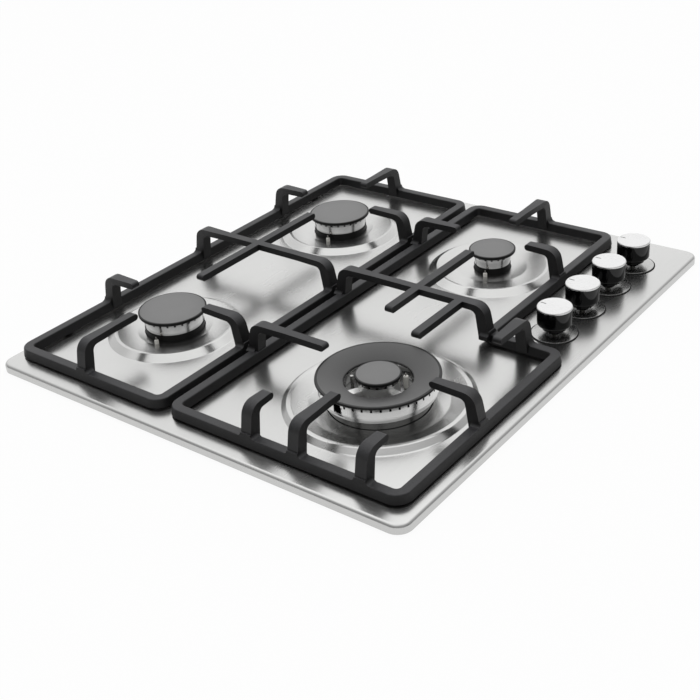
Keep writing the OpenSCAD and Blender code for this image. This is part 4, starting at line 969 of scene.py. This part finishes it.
@dataclass
class RoundBurner:
    """A burner: its pot, a cast head with a crown of ports, and an enamelled cap on the head."""

    burner: Burner
    cap_radius: float
    head_radius: float
    ports: int
    collar: float = 11.8
    collar_foot: float = 5.0
    tube: float = 7.0
    tube_wall: float = 1.5
    tube_foot: float = -8.0
    rim_z: float = 8.0
    skirt_z: float = 9.5
    bowl_z: float = 12.0
    head_top: float = 21.5
    head_foot: float = 1.0
    cap_top: float = 25.0
    cap_edge: float = 0.5
    wall: float = 3.5
    spigot_play: float = 0.1
    spigot: float = 2.0
    port_width: float = 2.0
    port_height: float = 3.6
    tooth_parts: int = 4
    parts: int = 128

    @property
    def at(self) -> Point:
        """Place of the burner's axis."""
        return PLACES[self.burner]

    def tooth(self, radius: float, count: int, top: float) -> Obj:
        """Makes the solid between two ports, open below where it stands on the wall.

        Args:
            radius: outer radius of the head.
            count: number of ports round the head.
            top: height of the head.

        Returns:
            A loose object about the origin, to be repeated and removed.
        """
        bm = bmesh.new()
        half = math.pi / count - self.port_width / 2 / radius
        low, inner = top - self.port_height, radius - self.wall
        columns = []
        for k in range(self.tooth_parts + 1):
            a = -half + 2 * half * k / self.tooth_parts
            corners = ((radius, low), (radius, top), (inner, top), (inner, low))
            columns.append([bm.verts.new((r * math.cos(a), r * math.sin(a), z)) for r, z in corners])
        for a, b in zip(columns, columns[1:]):
            for k in range(3):
                bm.faces.new((a[k], b[k], b[k + 1], a[k + 1]))
        bm.faces.new(columns[0])
        bm.faces.new(reversed(columns[-1]))
        bmesh.ops.recalc_face_normals(bm, faces=bm.faces)
        outer = max(bm.faces, key=lambda f: f.calc_center_median().to_2d().length)
        if outer.normal.to_2d().dot(outer.calc_center_median().to_2d()) < 0:
            bmesh.ops.reverse_faces(bm, faces=bm.faces)
        return finish_mesh("tooth", bm, HEAD_ALUMINIUM.make())

    def crown(
        self, name: str, radius: float, count: int, top: float, skip: Callable[[float], bool] | None = None,
    ) -> Obj:
        """Repeats the tooth round the head.

        Args:
            name: name of the result.
            radius: outer radius of the head.
            count: number of ports.
            top: height of the head.
            skip: says for an angle in degrees whether the tooth there is left out.

        Returns:
            The crown, at the burner's place.
        """
        tooth = self.tooth(radius, count, top)
        crown = run_tree(name, round_pattern(), {
            "Piece": tooth, "Count": count, "First angle": 0.0, "Merge distance": PATTERN_WELD * MM,
            "Material": HEAD_ALUMINIUM.make(),
        })
        bpy.data.objects.remove(tooth)
        if skip is not None:
            bm = bmesh.new()
            bm.from_mesh(crown.data)
            middles = {f: f.calc_center_median() for f in bm.faces}
            gone = [f for f, middle in middles.items() if skip(math.degrees(math.atan2(middle.y, middle.x)))]
            bmesh.ops.delete(bm, geom=gone, context="FACES")
            bm.to_mesh(crown.data)
            bm.free()
        crown.data.transform(Matrix.Translation((self.at[0] * MM, self.at[1] * MM, 0)))
        return crown

    def paint_port_shade(self, piece: Obj, radius: float, top: float) -> Obj:
        """Paints the walls inside the ports black, as painted shade in the ports.

        Args:
            piece: the head.
            radius: outer radius of the wall that the ports are cut in.
            top: height of that wall.

        Returns:
            The head.
        """
        start, reach = radius - self.wall - 0.2, radius - 0.4
        low = top - self.port_height - 0.05
        # Painted shade: the faces inside the ports take the black finish.
        piece.data.materials.append(PORT_PAINTED_SHADE.make())
        for face in piece.data.polygons:
            x, y, z = face.center / MM
            if z - TOP_Z > low and start < math.hypot(x - self.at[0], y - self.at[1]) < reach:
                face.material_index = len(piece.data.materials) - 1
        return piece

    def tube_line(self) -> list[Point]:
        """Gives the outside of the mixing tube, from its foot up to the collar that sits in the pot."""
        outer = self.tube + self.tube_wall
        return [
            (self.tube, self.tube_foot), (outer, self.tube_foot), (outer, self.collar_foot),
            (self.collar, self.collar_foot),
        ]

    def head_profile(self) -> list[Point]:
        """Gives the turned part of the head, below the ports.

        Returns:
            Radius and height of each point.
        """
        inner, foot = self.head_radius - self.wall, self.head_radius - self.head_foot
        low = self.head_top - self.port_height
        lean = self.head_foot * (low - self.rim_z) / (self.head_top - self.rim_z)
        line = self.tube_line() + [
            (self.collar, self.skirt_z), (inner, self.skirt_z), (inner, self.rim_z), (foot, self.rim_z),
            (foot + lean, low), (inner, low), (inner, self.bowl_z), (self.tube, self.bowl_z),
        ]
        return rounded(line, [0, 0, 0, 0, 0, 0, 0, 0.6, 0, 0, 2.0, 0], 4, closed=True)

    def build_head(self) -> Obj:
        """Builds the head with its ports.

        Returns:
            The head.
        """
        name, metal = self.burner.value, HEAD_ALUMINIUM.make()
        body = turned(f"{name}_head_body_part", self.head_profile(), metal, self.at, self.parts)
        crown = self.crown(f"{name}_crown", self.head_radius, self.ports, self.head_top)
        return self.paint_port_shade(join(f"{name}_head_turned", [body, crown]), self.head_radius, self.head_top)

    def dress_pot(self) -> None:
        """Finishes the pot: bright steel on the large burner, porcelain enamel on the others."""
        pot = bpy.data.objects[f"{self.burner.value}_pot"]
        dress(pot, POT_STEEL if self.burner is Burner.WOK else POT_ENAMEL)

    def cap_profile(
        self, radius: float, wall_in: float, base: float, top: float, flare: float, soft: Point,
    ) -> list[Point]:
        """Gives a round cap with a soft edge and the locating rim under it.

        Args:
            radius: the cap's radius.
            wall_in: inner radius of the wall that the cap sits on.
            base: height of that wall.
            top: height of the cap's face.
            flare: height over which the underside opens to the full radius.
            soft: radius of the lower and of the upper corner of the edge.

        Returns:
            Radius and height of each point.
        """
        rim, low = wall_in - self.spigot_play, base - self.spigot
        line = [
            (0.0, base), (rim - self.spigot, base), (rim - self.spigot, low), (rim, low), (rim, base),
            (radius - 0.4, base), (radius, base + flare), (radius, top - 0.15), (radius - 3.0, top),
            (0.0, top),
        ]
        return rounded(line, [0, 0, 0, 0.3, 0, 0.4, *soft, 4.0, 0], 6)

    def build_cap(self) -> Obj:
        """Builds the cap in its grey enamel.

        Returns:
            The cap.
        """
        name, inner = self.burner.value, self.head_radius - self.wall
        profile = self.cap_profile(self.cap_radius, inner, self.head_top, self.cap_top, 1.0, (0.6, 0.45))
        enamel = replace(
            CAP_ENAMEL, name=f"{CAP_ENAMEL.name}_{name}", centre=self.at, radius=self.cap_radius,
            edge_z=self.cap_top - self.cap_edge,
        )
        return turned(f"{name}_cap_enamelled", profile, enamel.make(), self.at, self.parts)

    def build(self) -> None:
        """Builds the burner's pieces and sets each on its body."""
        name = self.burner.value
        self.dress_pot()
        install(self.build_head(), "cast_aluminium", f"{name}_head_body", f"{name}_head")
        install(self.build_cap(), "cap_enamel", f"{name}_cap_body", f"{name}_cap")


@dataclass
class RingBurner(RoundBurner):
    """The large burner: a ring of ports round a raised inner head, joined by three bridges."""

    head_top: float = 25.0
    cap_top: float = 28.0
    wall: float = 3.0
    port_height: float = 3.3
    parts: int = 168
    inner_radius: float = 20.0
    inner_top: float = 25.5
    inner_ports: int = 16
    channel: float = 34.0
    channel_top: float = 19.5
    seat: float = 49.5
    waist: float = 14.5
    bridges: tuple[float, ...] = (15.0, 150.0, 260.0)
    bridge_width: float = 9.0
    bridge_top: float = 16.5
    notch: float = 176.0
    notch_width: float = 9.0
    notch_foot: float = 13.0
    middle_cap_radius: float = 22.2
    middle_cap_height: float = 3.5
    cap_hole: float = 33.0
    cap_hole_top: float = 22.2

    def notched(self, degrees: float) -> bool:
        """Says whether an angle falls in the notch of the ring's rim."""
        off = abs((degrees - self.notch + 180) % 360 - 180)
        return off < math.degrees(self.notch_width / 2 / self.head_radius) - 0.5

    def with_notch(self, wall: Obj) -> Obj:
        """Cuts the gas notch down through the wall of the ring.

        Args:
            wall: the turned ring.

        Returns:
            The ring with its notch, whose cheeks are painted black as shade.
        """
        bm = bmesh.new()
        outer, inner, half = self.head_radius + 1.0, self.head_radius - self.wall - 1.0, self.notch_width / 2
        block(bm, (inner, -half, self.notch_foot), (outer, half, self.head_top + 1.0), self.notch, self.at)
        bmesh.ops.recalc_face_normals(bm, faces=bm.faces)
        # The cut carries the painted black shade onto the notch's cheeks.
        tool = finish_mesh("notch_tool", bm, PORT_PAINTED_SHADE.make())
        cut = wall.modifiers.new("notch", "BOOLEAN")
        cut.operation = "DIFFERENCE"
        cut.solver = "EXACT"
        cut.object = tool
        cut.material_mode = "TRANSFER"
        baked(wall)
        bpy.data.objects.remove(tool)
        return wall

    def ring_profile(self) -> list[Point]:
        """Gives the ring's channel: its outer wall below the ports, its floor and its low inner wall.

        Returns:
            Radius and height of each point.
        """
        r, low = self.head_radius, self.head_top - self.port_height
        line = [
            (self.channel, self.rim_z), (self.seat, self.rim_z), (r - 2.5, self.rim_z + 0.5),
            (r - 2.3, self.waist - 0.9), (r, self.waist), (r, low), (r - self.wall, low),
            (r - self.wall, self.bowl_z), (self.channel + self.wall, self.bowl_z),
            (self.channel + self.wall, self.channel_top), (self.channel, self.channel_top),
        ]
        return rounded(line, [0.5, 0, 0.6, 0.5, 0.5, 0, 0, 2, 2, 0.4, 0.8], 4, closed=True)

    def inner_profile(self) -> list[Point]:
        """Gives the inner head below its ports.

        Returns:
            Radius and height of each point.
        """
        r, low = self.inner_radius, self.inner_top - self.port_height
        line = self.tube_line() + [
            (self.collar, self.rim_z), (r, self.rim_z), (r, low), (r - self.wall, low),
            (r - self.wall, self.bowl_z), (self.tube, self.bowl_z),
        ]
        return rounded(line, [0, 0, 0, 0, 0, 0.8, 0, 0, 2, 0], 4, closed=True)

    def build_bridges(self) -> Obj:
        """Builds the bridges that lead gas from the inner head to the ring.

        Returns:
            The bridges as one object.
        """
        bm = bmesh.new()
        start, end = self.inner_radius - self.wall / 2, self.channel + self.wall / 2
        half = self.bridge_width / 2
        for turn in self.bridges:
            block(bm, (start, -half, self.rim_z), (end, half, self.bridge_top), turn, self.at)
        bmesh.ops.bevel(bm, geom=list(bm.edges), offset=1.0, segments=3, profile=0.5, affect="EDGES")
        return finish_mesh("bridges", bm, BLASTED_ALUMINIUM.make())

    def build_head(self) -> Obj:
        """Builds the ring, the inner head, the bridges and both crowns of ports.

        Returns:
            The head.
        """
        ring = turned("ring_wall", self.ring_profile(), HEAD_ALUMINIUM.make(), self.at, self.parts)
        head = join("wok_head_turned", [
            self.with_notch(ring),
            turned("inner_wall", self.inner_profile(), BLASTED_ALUMINIUM.make(), self.at),
            self.build_bridges(),
            self.crown("ring_crown", self.head_radius, self.ports, self.head_top, self.notched),
            self.crown("inner_crown", self.inner_radius, self.inner_ports, self.inner_top),
        ])
        self.paint_port_shade(head, self.head_radius, self.head_top)
        return self.paint_port_shade(head, self.inner_radius, self.inner_top)

    def ring_cap(self) -> Obj:
        """Builds the dark ring cap, whose face falls toward its hole.

        Returns:
            The cap.
        """
        r, base, top, hole = self.cap_radius, self.head_top, self.cap_top, self.cap_hole
        rim = self.head_radius - self.wall - self.spigot_play
        line = [
            (hole, self.channel_top), (hole + 5.0, self.channel_top),
            (rim - self.spigot, base - self.spigot), (rim, base - self.spigot), (rim, base),
            (r - 1.0, base), (r, base + 1.4), (r - 0.4, top), (r - 2.6, top), (hole, self.cap_hole_top),
        ]
        profile = rounded(line, [0.8, 0, 0, 0.3, 0, 0.5, 0.6, 0.8, 2.5, 1.0], 6, closed=True)
        enamel = replace(RING_ENAMEL, centre=self.at, radius=r)
        return turned("wok_ring_cap_enamelled", profile, enamel.make(), self.at, self.parts)

    def middle_cap(self) -> Obj:
        """Builds the grey cap over the inner head.

        Returns:
            The cap.
        """
        r, top = self.middle_cap_radius, self.inner_top + self.middle_cap_height
        profile = self.cap_profile(r, self.inner_radius - self.wall, self.inner_top, top, 1.2, (0.8, 0.9))
        enamel = replace(MIDDLE_ENAMEL, centre=self.at, radius=r, edge_z=top - self.cap_edge)
        return turned("wok_centre_cap_enamelled", profile, enamel.make(), self.at)

    def build(self) -> None:
        """Builds the large burner's pieces and sets each on its body."""
        self.dress_pot()
        install(self.build_head(), "cast_aluminium", "wok_head_body", "wok_head")
        install(self.ring_cap(), "ring_enamel", "wok_ring_cap_body", "wok_ring_cap")
        install(self.middle_cap(), "cap_enamel", "wok_centre_cap_body", "wok_centre_cap")


@dataclass(frozen=True)
class Spark:
    """One spark electrode: where it stands beside its burner, and how wide and tall it is."""

    out: float
    angle: float = 193.5
    radius: float = 2.3
    collar_z: float = 1.0
    top: float = 6.5
    tip: float = 9.5


@dataclass
class Igniters:
    """The spark electrodes beside the burners, steel pins in ceramic tubes."""

    sparks: dict[Burner, Spark] = field(default_factory=lambda: {
        Burner.REAR_LEFT: Spark(36.7), Burner.REAR_RIGHT: Spark(36.7), Burner.SMALL: Spark(25.7),
        Burner.WOK: Spark(26.0, -42.0, 2.6, 5.5, 21.0, 23.5),
    })
    tube: float = 2.3
    tube_foot: float = -14.0
    tube_parts: int = 32
    collar: float = 3.5
    collar_height: float = 1.5
    pin: float = 0.8
    pin_parts: int = 20
    terminal: float = 1.0
    terminal_foot: float = -20.0

    def build(self) -> None:
        """Builds the electrodes as one piece on the cooktop."""
        tubes, pins = bmesh.new(), bmesh.new()
        for burner, spark in self.sparks.items():
            angle = math.radians(spark.angle)
            x = round(spark.out * math.cos(angle), 1) + PLACES[burner][0]
            y = round(spark.out * math.sin(angle), 1) + PLACES[burner][1]
            low, top, tip = spark.collar_z - self.collar_height, spark.top, spark.tip
            line = [
                (0.0, self.tube_foot), (self.tube, self.tube_foot), (self.tube, low), (self.collar, low),
                (self.collar, spark.collar_z), (spark.radius, spark.collar_z), (spark.radius, top - 1.0),
                (spark.radius - 0.9, top), (0.0, top),
            ]
            lathe(tubes, rounded(line, [0, 0.4, 0, 0.3, 0.3, 0, 0.6, 0.5, 0], 4), (x, y), self.tube_parts)
            point = [
                (0.0, top - 1.0), (self.pin, top - 1.0), (self.pin, tip - 0.5), (self.pin - 0.4, tip),
                (0.0, tip),
            ]
            lathe(pins, point, (x, y), self.pin_parts)
            foot, end = self.terminal_foot, self.tube_foot + 0.5
            terminal = [(0.0, foot), (self.terminal, foot), (self.terminal, end), (0.0, end)]
            lathe(pins, terminal, (x, y), self.pin_parts)
        piece = join("spark_electrode_set", [
            finish_mesh("spark_ceramics", tubes, CERAMIC.make()),
            finish_mesh("spark_pins", pins, PIN_STEEL.make()),
        ])
        install(piece, "white_ceramic", "cooktop", "spark_electrodes")


@dataclass
class PanSupports:
    """The two cast pan supports: their CAD solids, with every sharp edge rounded."""

    edge: float = 0.8
    edge_parts: int = 3
    flat_angle: float = 1.0
    sharp_angle: float = 30.0

    def casting(self, node: Obj, name: str) -> Obj:
        """Rounds a support the way a mould and a coat of enamel do.

        Args:
            node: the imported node.
            name: name of the piece.

        Returns:
            The rounded casting.
        """
        piece = merged_copy(node, name)
        planes = piece.modifiers.new("planes", "DECIMATE")
        planes.decimate_type = "DISSOLVE"
        planes.angle_limit = math.radians(self.flat_angle)
        soften = piece.modifiers.new("soften", "BEVEL")
        soften.width = self.edge * MM
        soften.segments = self.edge_parts
        soften.limit_method = "ANGLE"
        soften.angle_limit = math.radians(self.sharp_angle)
        piece.modifiers.new("normals", "WEIGHTED_NORMAL")
        piece.data.shade_smooth()
        dress(baked(piece), GRATE_ENAMEL)
        return piece

    def build(self, nodes: dict[str, Obj]) -> None:
        """Builds both supports on their bodies.

        Args:
            nodes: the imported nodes.
        """
        for side in ("rear", "front"):
            piece = self.casting(nodes[f"{side}_grate"], f"{side}_pan_support")
            install(piece, "grate_iron", f"{side}_support", f"{side}_grate")


@dataclass
class Knobs:
    """Four gloss black knobs with a bright disc, each over a steel bezel with a black ring under it, a
    painted shadow line.
    """

    first: float = 48.4
    pitch: float = 59.3
    y: float = -203.8
    count: int = 4
    body: float = 17.8
    body_foot: float = 10.5
    neck: float = 12.6
    neck_wall: float = 2.2
    neck_foot: float = 5.9
    roof: float = 24.1
    hub: float = 6.0
    hub_bore: float = 3.05
    hub_parts: int = 48
    disc: float = 18.0
    disc_foot: float = 29.0
    top: float = 31.0
    mark_width: float = 1.0
    mark_from_edge: Point = (8.2, 2.2)
    bezel: float = 24.6
    bezel_foot: float = 0.6
    bezel_height: float = 1.2
    bezel_bore: float = 6.5
    bush: float = 7.9
    bush_foot: float = -2.0
    # Width of the black ring that shows round the bezel as a painted shadow line.
    shadow_line_width: float = 1.3

    def places(self) -> list[Point]:
        """Gives the knobs' axes."""
        return [(self.first + k * self.pitch, self.y) for k in range(self.count)]

    def body_profile(self) -> list[Point]:
        """Gives the knob's turned body, open below round its hub."""
        inner = self.neck - self.neck_wall
        line = [
            (0.0, self.roof), (inner, self.roof), (inner, self.neck_foot), (self.neck, self.neck_foot),
            (self.neck, self.body_foot), (self.body, self.body_foot), (self.body, self.disc_foot),
            (0.0, self.disc_foot),
        ]
        return rounded(line, [0, 0, 0, 0.4, 1.2, 2.6, 0.25, 0], 6)

    def hub_profile(self) -> list[Point]:
        """Gives the hub round the spindle."""
        return [
            (self.hub_bore, self.neck_foot), (self.hub, self.neck_foot), (self.hub, self.roof),
            (self.hub_bore, self.roof),
        ]

    def disc_profile(self) -> list[Point]:
        """Gives the disc with its cut edge and a face that lies a little lower."""
        line = [
            (0.0, self.disc_foot), (self.disc, self.disc_foot), (self.disc, self.top - 0.7),
            (self.disc - 0.7, self.top), (self.disc - 1.6, self.top), (self.disc - 1.9, self.top - 0.15),
            (0.0, self.top - 0.15),
        ]
        return rounded(line, [0, 0.2, 0.25, 0.25, 0.1, 0.2, 0], 3)

    def bezel_profile(self) -> list[Point]:
        """Gives the bezel and the bush that goes down through the plate."""
        out = self.bezel - self.shadow_line_width
        line = [
            (self.bezel_bore, self.bush_foot), (self.bush, self.bush_foot), (self.bush, self.bezel_foot),
            (out, self.bezel_foot), (out, self.bezel_height), (self.bezel_bore, self.bezel_height),
        ]
        return rounded(line, [0, 0, 0, 0, 0.25, 0.3], 4, closed=True)

    def build_knob(self, number: int, at: Point) -> None:
        """Builds one knob and its disc on their body.

        Args:
            number: the knob's number, from 1.
            at: place of its axis.
        """
        bm = bmesh.new()
        lathe(bm, self.body_profile(), at, closed=False)
        lathe(bm, self.hub_profile(), at, self.hub_parts)
        body = finish_mesh(f"knob_{number}_moulded", bm, KNOB_GLOSS.make())
        disc = turned(f"knob_{number}_disc_part", self.disc_profile(), DISC_ALUMINIUM.make(), at)
        bm = bmesh.new()
        half, (start, end) = self.mark_width / 2, self.mark_from_edge
        block(bm, (-half, self.disc - start, self.top - 0.3), (half, self.disc - end, self.top - 0.1), at=at)
        mark = finish_mesh(f"knob_{number}_mark_part", bm, MARK_INK.make())
        install(body, "gloss_black", f"control_{number}", f"knob_{number}")
        disc = join(f"knob_{number}_disc_spun", [disc, mark])
        install(disc, "bright_disc", f"control_{number}", f"knob_disc_{number}")

    def build(self) -> None:
        """Builds the knobs on their bodies and the bezels on the plate."""
        bezels, rings = bmesh.new(), bmesh.new()
        inner, low, high = self.bush + 0.05, 0.05, self.bezel_foot - 0.05
        for number, at in enumerate(self.places(), start=1):
            self.build_knob(number, at)
            lathe(bezels, self.bezel_profile(), at)
            # The black ring under each bezel's edge: a painted shadow line.
            lathe(rings, [(inner, low), (self.bezel, low), (self.bezel, high), (inner, high)], at)
        shadow_line_rings = finish_mesh("bezel_gaskets", rings, FOOT_RUBBER.make())
        piece = join("knob_bezel_set", [finish_mesh("bezel_discs", bezels, BEZEL_STEEL.make()), shadow_line_rings])
        install(piece, "gloss_black", "cooktop", "knob_bezels")


@dataclass
class Underside:
    """The parts that keep their CAD solids and take real finishes, most of them under the plate."""

    finishes: dict[str, Finish] = field(default_factory=lambda: {
        "perimeter_seal": SEAL_FOAM, "burner_box": ZINC, "box_screws": SCREW_STEEL, "worktop_clamps": ZINC,
        "clamp_screws": SCREW_STEEL, "gas_manifold": TUBE_ALUMINIUM, "gas_inlet": BRASS,
        "cable_gland": MODULE_PLASTIC, "spark_module": MODULE_PLASTIC, "left_burner_bracket": BRACKET_STEEL,
        "right_burner_bracket": BRACKET_STEEL, "pot_screws": SCREW_STEEL, "gas_injectors": BRASS,
        "flame_probes": PROBE_SHEATH, "ignition_leads": LEAD_SILICONE, "rear_grate_feet": FOOT_RUBBER,
        "front_grate_feet": FOOT_RUBBER,
    })

    def finish_of(self, node: str) -> Finish | None:
        """Gives a node's finish.

        Args:
            node: the node's name.

        Returns:
            The finish, or None where another class dresses the node.
        """
        if node in self.finishes:
            return self.finishes[node]
        if node.startswith("tap_"):
            return BRASS
        if node.startswith("spindle_"):
            return PIN_STEEL
        if node.endswith("_supply_tube"):
            return TUBE_ALUMINIUM
        return None

    def build(self, nodes: dict[str, Obj]) -> None:
        """Dresses the CAD nodes that stay.

        Args:
            nodes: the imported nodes.
        """
        for name, node in nodes.items():
            finish = self.finish_of(name)
            if finish is not None:
                dress(node, finish)
                LOG.info("%s: %s", name, finish.name)


@dataclass
class Studio:
    """A pale worktop that the cooktop is let into, a floor, soft light and the camera."""

    seat: float = 52.0
    cutout: Point = (560.0, 490.0)
    worktop_half: float = 700.0
    worktop: float = 30.0
    floor_half: float = 6000.0
    floor_drop: float = 0.5
    surface: str = "#e8e8e8"
    seen_share: float = 0.9
    seen_glow: float = 1.02
    light_tilt: float = 0.25
    facing_span: Point = (-0.7, 0.7)
    front_level: float = 0.4
    back_level: float = 1.2
    side_span: Point = (0.35, 0.9)
    side_level: float = 0.5
    lamp_place: tuple[float, float, float] = (0.1, 0.3, 2.2)
    lamp_target: tuple[float, float, float] = (0.0, 0.0, 0.05)
    lamp_size: float = 3.0
    lamp_power: float = 8.0
    azimuth: float = -51.141
    elevation: float = 30.005
    roll: float = -4.29
    eye: tuple[float, float, float] = (-859.057, -696.075, 581.905)
    focal: float = 1156.755
    centre: Point = (371.317, 350.305)
    image: float = 700.0
    clip: Point = (0.05, 50.0)

    def stage_material(self) -> Material:
        """Makes the pale surface: white to the eye, with the object's shadow kept.

        Returns:
            The material.
        """
        material = bpy.data.materials.new("pale_laminate")
        material.use_nodes = True
        tree = material.node_tree
        tree.nodes.clear()
        path = add(tree, "ShaderNodeLightPath").outputs
        either = {"operation": "MAXIMUM"}
        seen = add(tree, "ShaderNodeMath", either, i0=path["Is Camera Ray"], i1=path["Is Glossy Ray"])
        times = {"operation": "MULTIPLY", "in:1": self.seen_share}
        share = add(tree, "ShaderNodeMath", times, i0=seen.outputs[0]).outputs[0]
        plain = add(tree, "ShaderNodeBsdfDiffuse", {"in:Color": linear(self.surface)}).outputs[0]
        glow = add(tree, "ShaderNodeEmission", {"in:Strength": self.seen_glow}).outputs[0]
        both = add(tree, "ShaderNodeMixShader", i0=share, i1=plain, i2=glow)
        add(tree, "ShaderNodeOutputMaterial", Surface=both.outputs[0])
        return material

    def build_stage(self) -> None:
        """Builds the worktop with its cut-out and the floor."""
        material = self.stage_material()
        bm = bmesh.new()
        w, d, h = self.cutout[0] / 2, self.cutout[1] / 2, self.worktop_half
        top = self.seat - TOP_Z
        low = top - self.worktop
        loops = [
            [bm.verts.new((sx * x, sy * y, z)) for sx, sy in ((-1, -1), (1, -1), (1, 1), (-1, 1))]
            for x, y, z in ((w, d, top), (h, h, top), (h, h, low), (w, d, low))
        ]
        for first, second in zip(loops, loops[1:] + loops[:1]):
            band(bm, first, second)
        bmesh.ops.recalc_face_normals(bm, faces=bm.faces)
        worktop = finish_mesh("worktop_slab", bm, material)
        bm = bmesh.new()
        bmesh.ops.create_grid(bm, x_segments=1, y_segments=1, size=self.floor_half)
        bmesh.ops.translate(bm, vec=(0, 0, -TOP_Z - self.floor_drop), verts=bm.verts)
        finish_mesh("studio_floor", bm, material)

    def build_world(self) -> None:
        """Sets the surroundings: white to the eye, and as light brightest behind the object."""
        world = bpy.data.worlds.new("studio")
        bpy.context.scene.world = world
        world.use_nodes = True
        tree = world.node_tree
        tree.nodes.clear()
        coords = add(tree, "ShaderNodeTexCoord").outputs["Generated"]
        turn = math.radians(self.azimuth)
        away = (-math.sin(turn), math.cos(turn), self.light_tilt)
        right = (math.cos(turn), math.sin(turn), 0.0)
        along = [{"operation": "DOT_PRODUCT", "in:1": way} for way in (away, right)]
        facing, across = (
            add(tree, "ShaderNodeVectorMath", settings, i0=coords).outputs["Value"] for settings in along
        )
        span = {
            "in:1": self.facing_span[0], "in:2": self.facing_span[1],
            "in:3": self.front_level, "in:4": self.back_level,
        }
        light = add(tree, "ShaderNodeMapRange", span, Value=facing).outputs[0]
        aside = add(tree, "ShaderNodeMath", {"operation": "ABSOLUTE"}, i0=across).outputs[0]
        span = {"in:1": self.side_span[0], "in:2": self.side_span[1], "in:3": 1.0, "in:4": self.side_level}
        wings = add(tree, "ShaderNodeMapRange", span, Value=aside).outputs[0]
        level = add(tree, "ShaderNodeMath", {"operation": "MULTIPLY"}, i0=light, i1=wings).outputs[0]
        white = {"in:Color": linear("#ffffff"), "in:Strength": 1.0}
        surround = add(tree, "ShaderNodeBackground", white, Strength=level).outputs[0]
        plain = add(tree, "ShaderNodeBackground", white).outputs[0]
        seen = add(tree, "ShaderNodeLightPath").outputs["Is Camera Ray"]
        both = add(tree, "ShaderNodeMixShader", i0=seen, i1=surround, i2=plain)
        add(tree, "ShaderNodeOutputWorld", Surface=both.outputs[0])

    def build_lamp(self) -> None:
        """Hangs a large soft lamp over the cooktop."""
        data = bpy.data.lights.new("top_softbox", "AREA")
        data.shape = "SQUARE"
        data.size = self.lamp_size
        data.energy = self.lamp_power
        lamp = placed("top_softbox", data)
        lamp.location = self.lamp_place
        way = Vector(self.lamp_target) - Vector(self.lamp_place)
        lamp.rotation_euler = way.to_track_quat("-Z", "Y").to_euler()

    def build_camera(self) -> None:
        """Sets the camera at the photograph's place, turn, length and small shift."""
        a, e, r = (math.radians(v) for v in (self.azimuth, self.elevation, self.roll))
        back = Vector((math.sin(a) * math.cos(e), -math.cos(a) * math.cos(e), math.sin(e)))
        right = Vector((math.cos(a), math.sin(a), 0))
        up = back.cross(right)
        x = right * math.cos(r) + up * math.sin(r)
        y = up * math.cos(r) - right * math.sin(r)
        data = bpy.data.cameras.new("camera")
        data.sensor_width = 36.0
        data.lens = self.focal * data.sensor_width / self.image
        data.shift_x = (self.image / 2 - self.centre[0]) / self.image
        data.shift_y = (self.centre[1] - self.image / 2) / self.image
        data.clip_start, data.clip_end = self.clip
        camera = placed("camera", data)
        place = Vector(self.eye) * MM + Vector((0, 0, TOP_Z * MM))
        camera.matrix_world = Matrix.Translation(place) @ Matrix((x, y, back)).transposed().to_4x4()
        bpy.context.scene.camera = camera

    def build(self) -> None:
        """Builds the camera, the light and the stage."""
        bpy.context.scene.view_settings.view_transform = "Standard"
        self.build_camera()
        self.build_world()
        self.build_stage()
        self.build_lamp()


def main() -> None:
    """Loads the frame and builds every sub-assembly in order."""
    logging.basicConfig(level=logging.INFO, format="%(name)s %(message)s")
    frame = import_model()
    for obj in [o for o in bpy.context.scene.objects if o.type in {"CAMERA", "LIGHT"} or o.name == "Cube"]:
        bpy.data.objects.remove(obj)
    nodes: dict[str, Obj] = frame["nodes"]
    Studio().build()
    TopPlate().build()
    RoundBurner(Burner.REAR_LEFT, cap_radius=36.0, head_radius=32.0, ports=26).build()
    RoundBurner(Burner.REAR_RIGHT, cap_radius=36.0, head_radius=32.0, ports=26).build()
    RoundBurner(Burner.SMALL, cap_radius=26.0, head_radius=21.0, ports=18, collar=9.8).build()
    RingBurner(Burner.WOK, cap_radius=59.6, head_radius=57.5, ports=42).build()
    Igniters().build()
    PanSupports().build(nodes)
    Knobs().build()
    Underside().build(nodes)


if __name__ == "__main__":
    main()
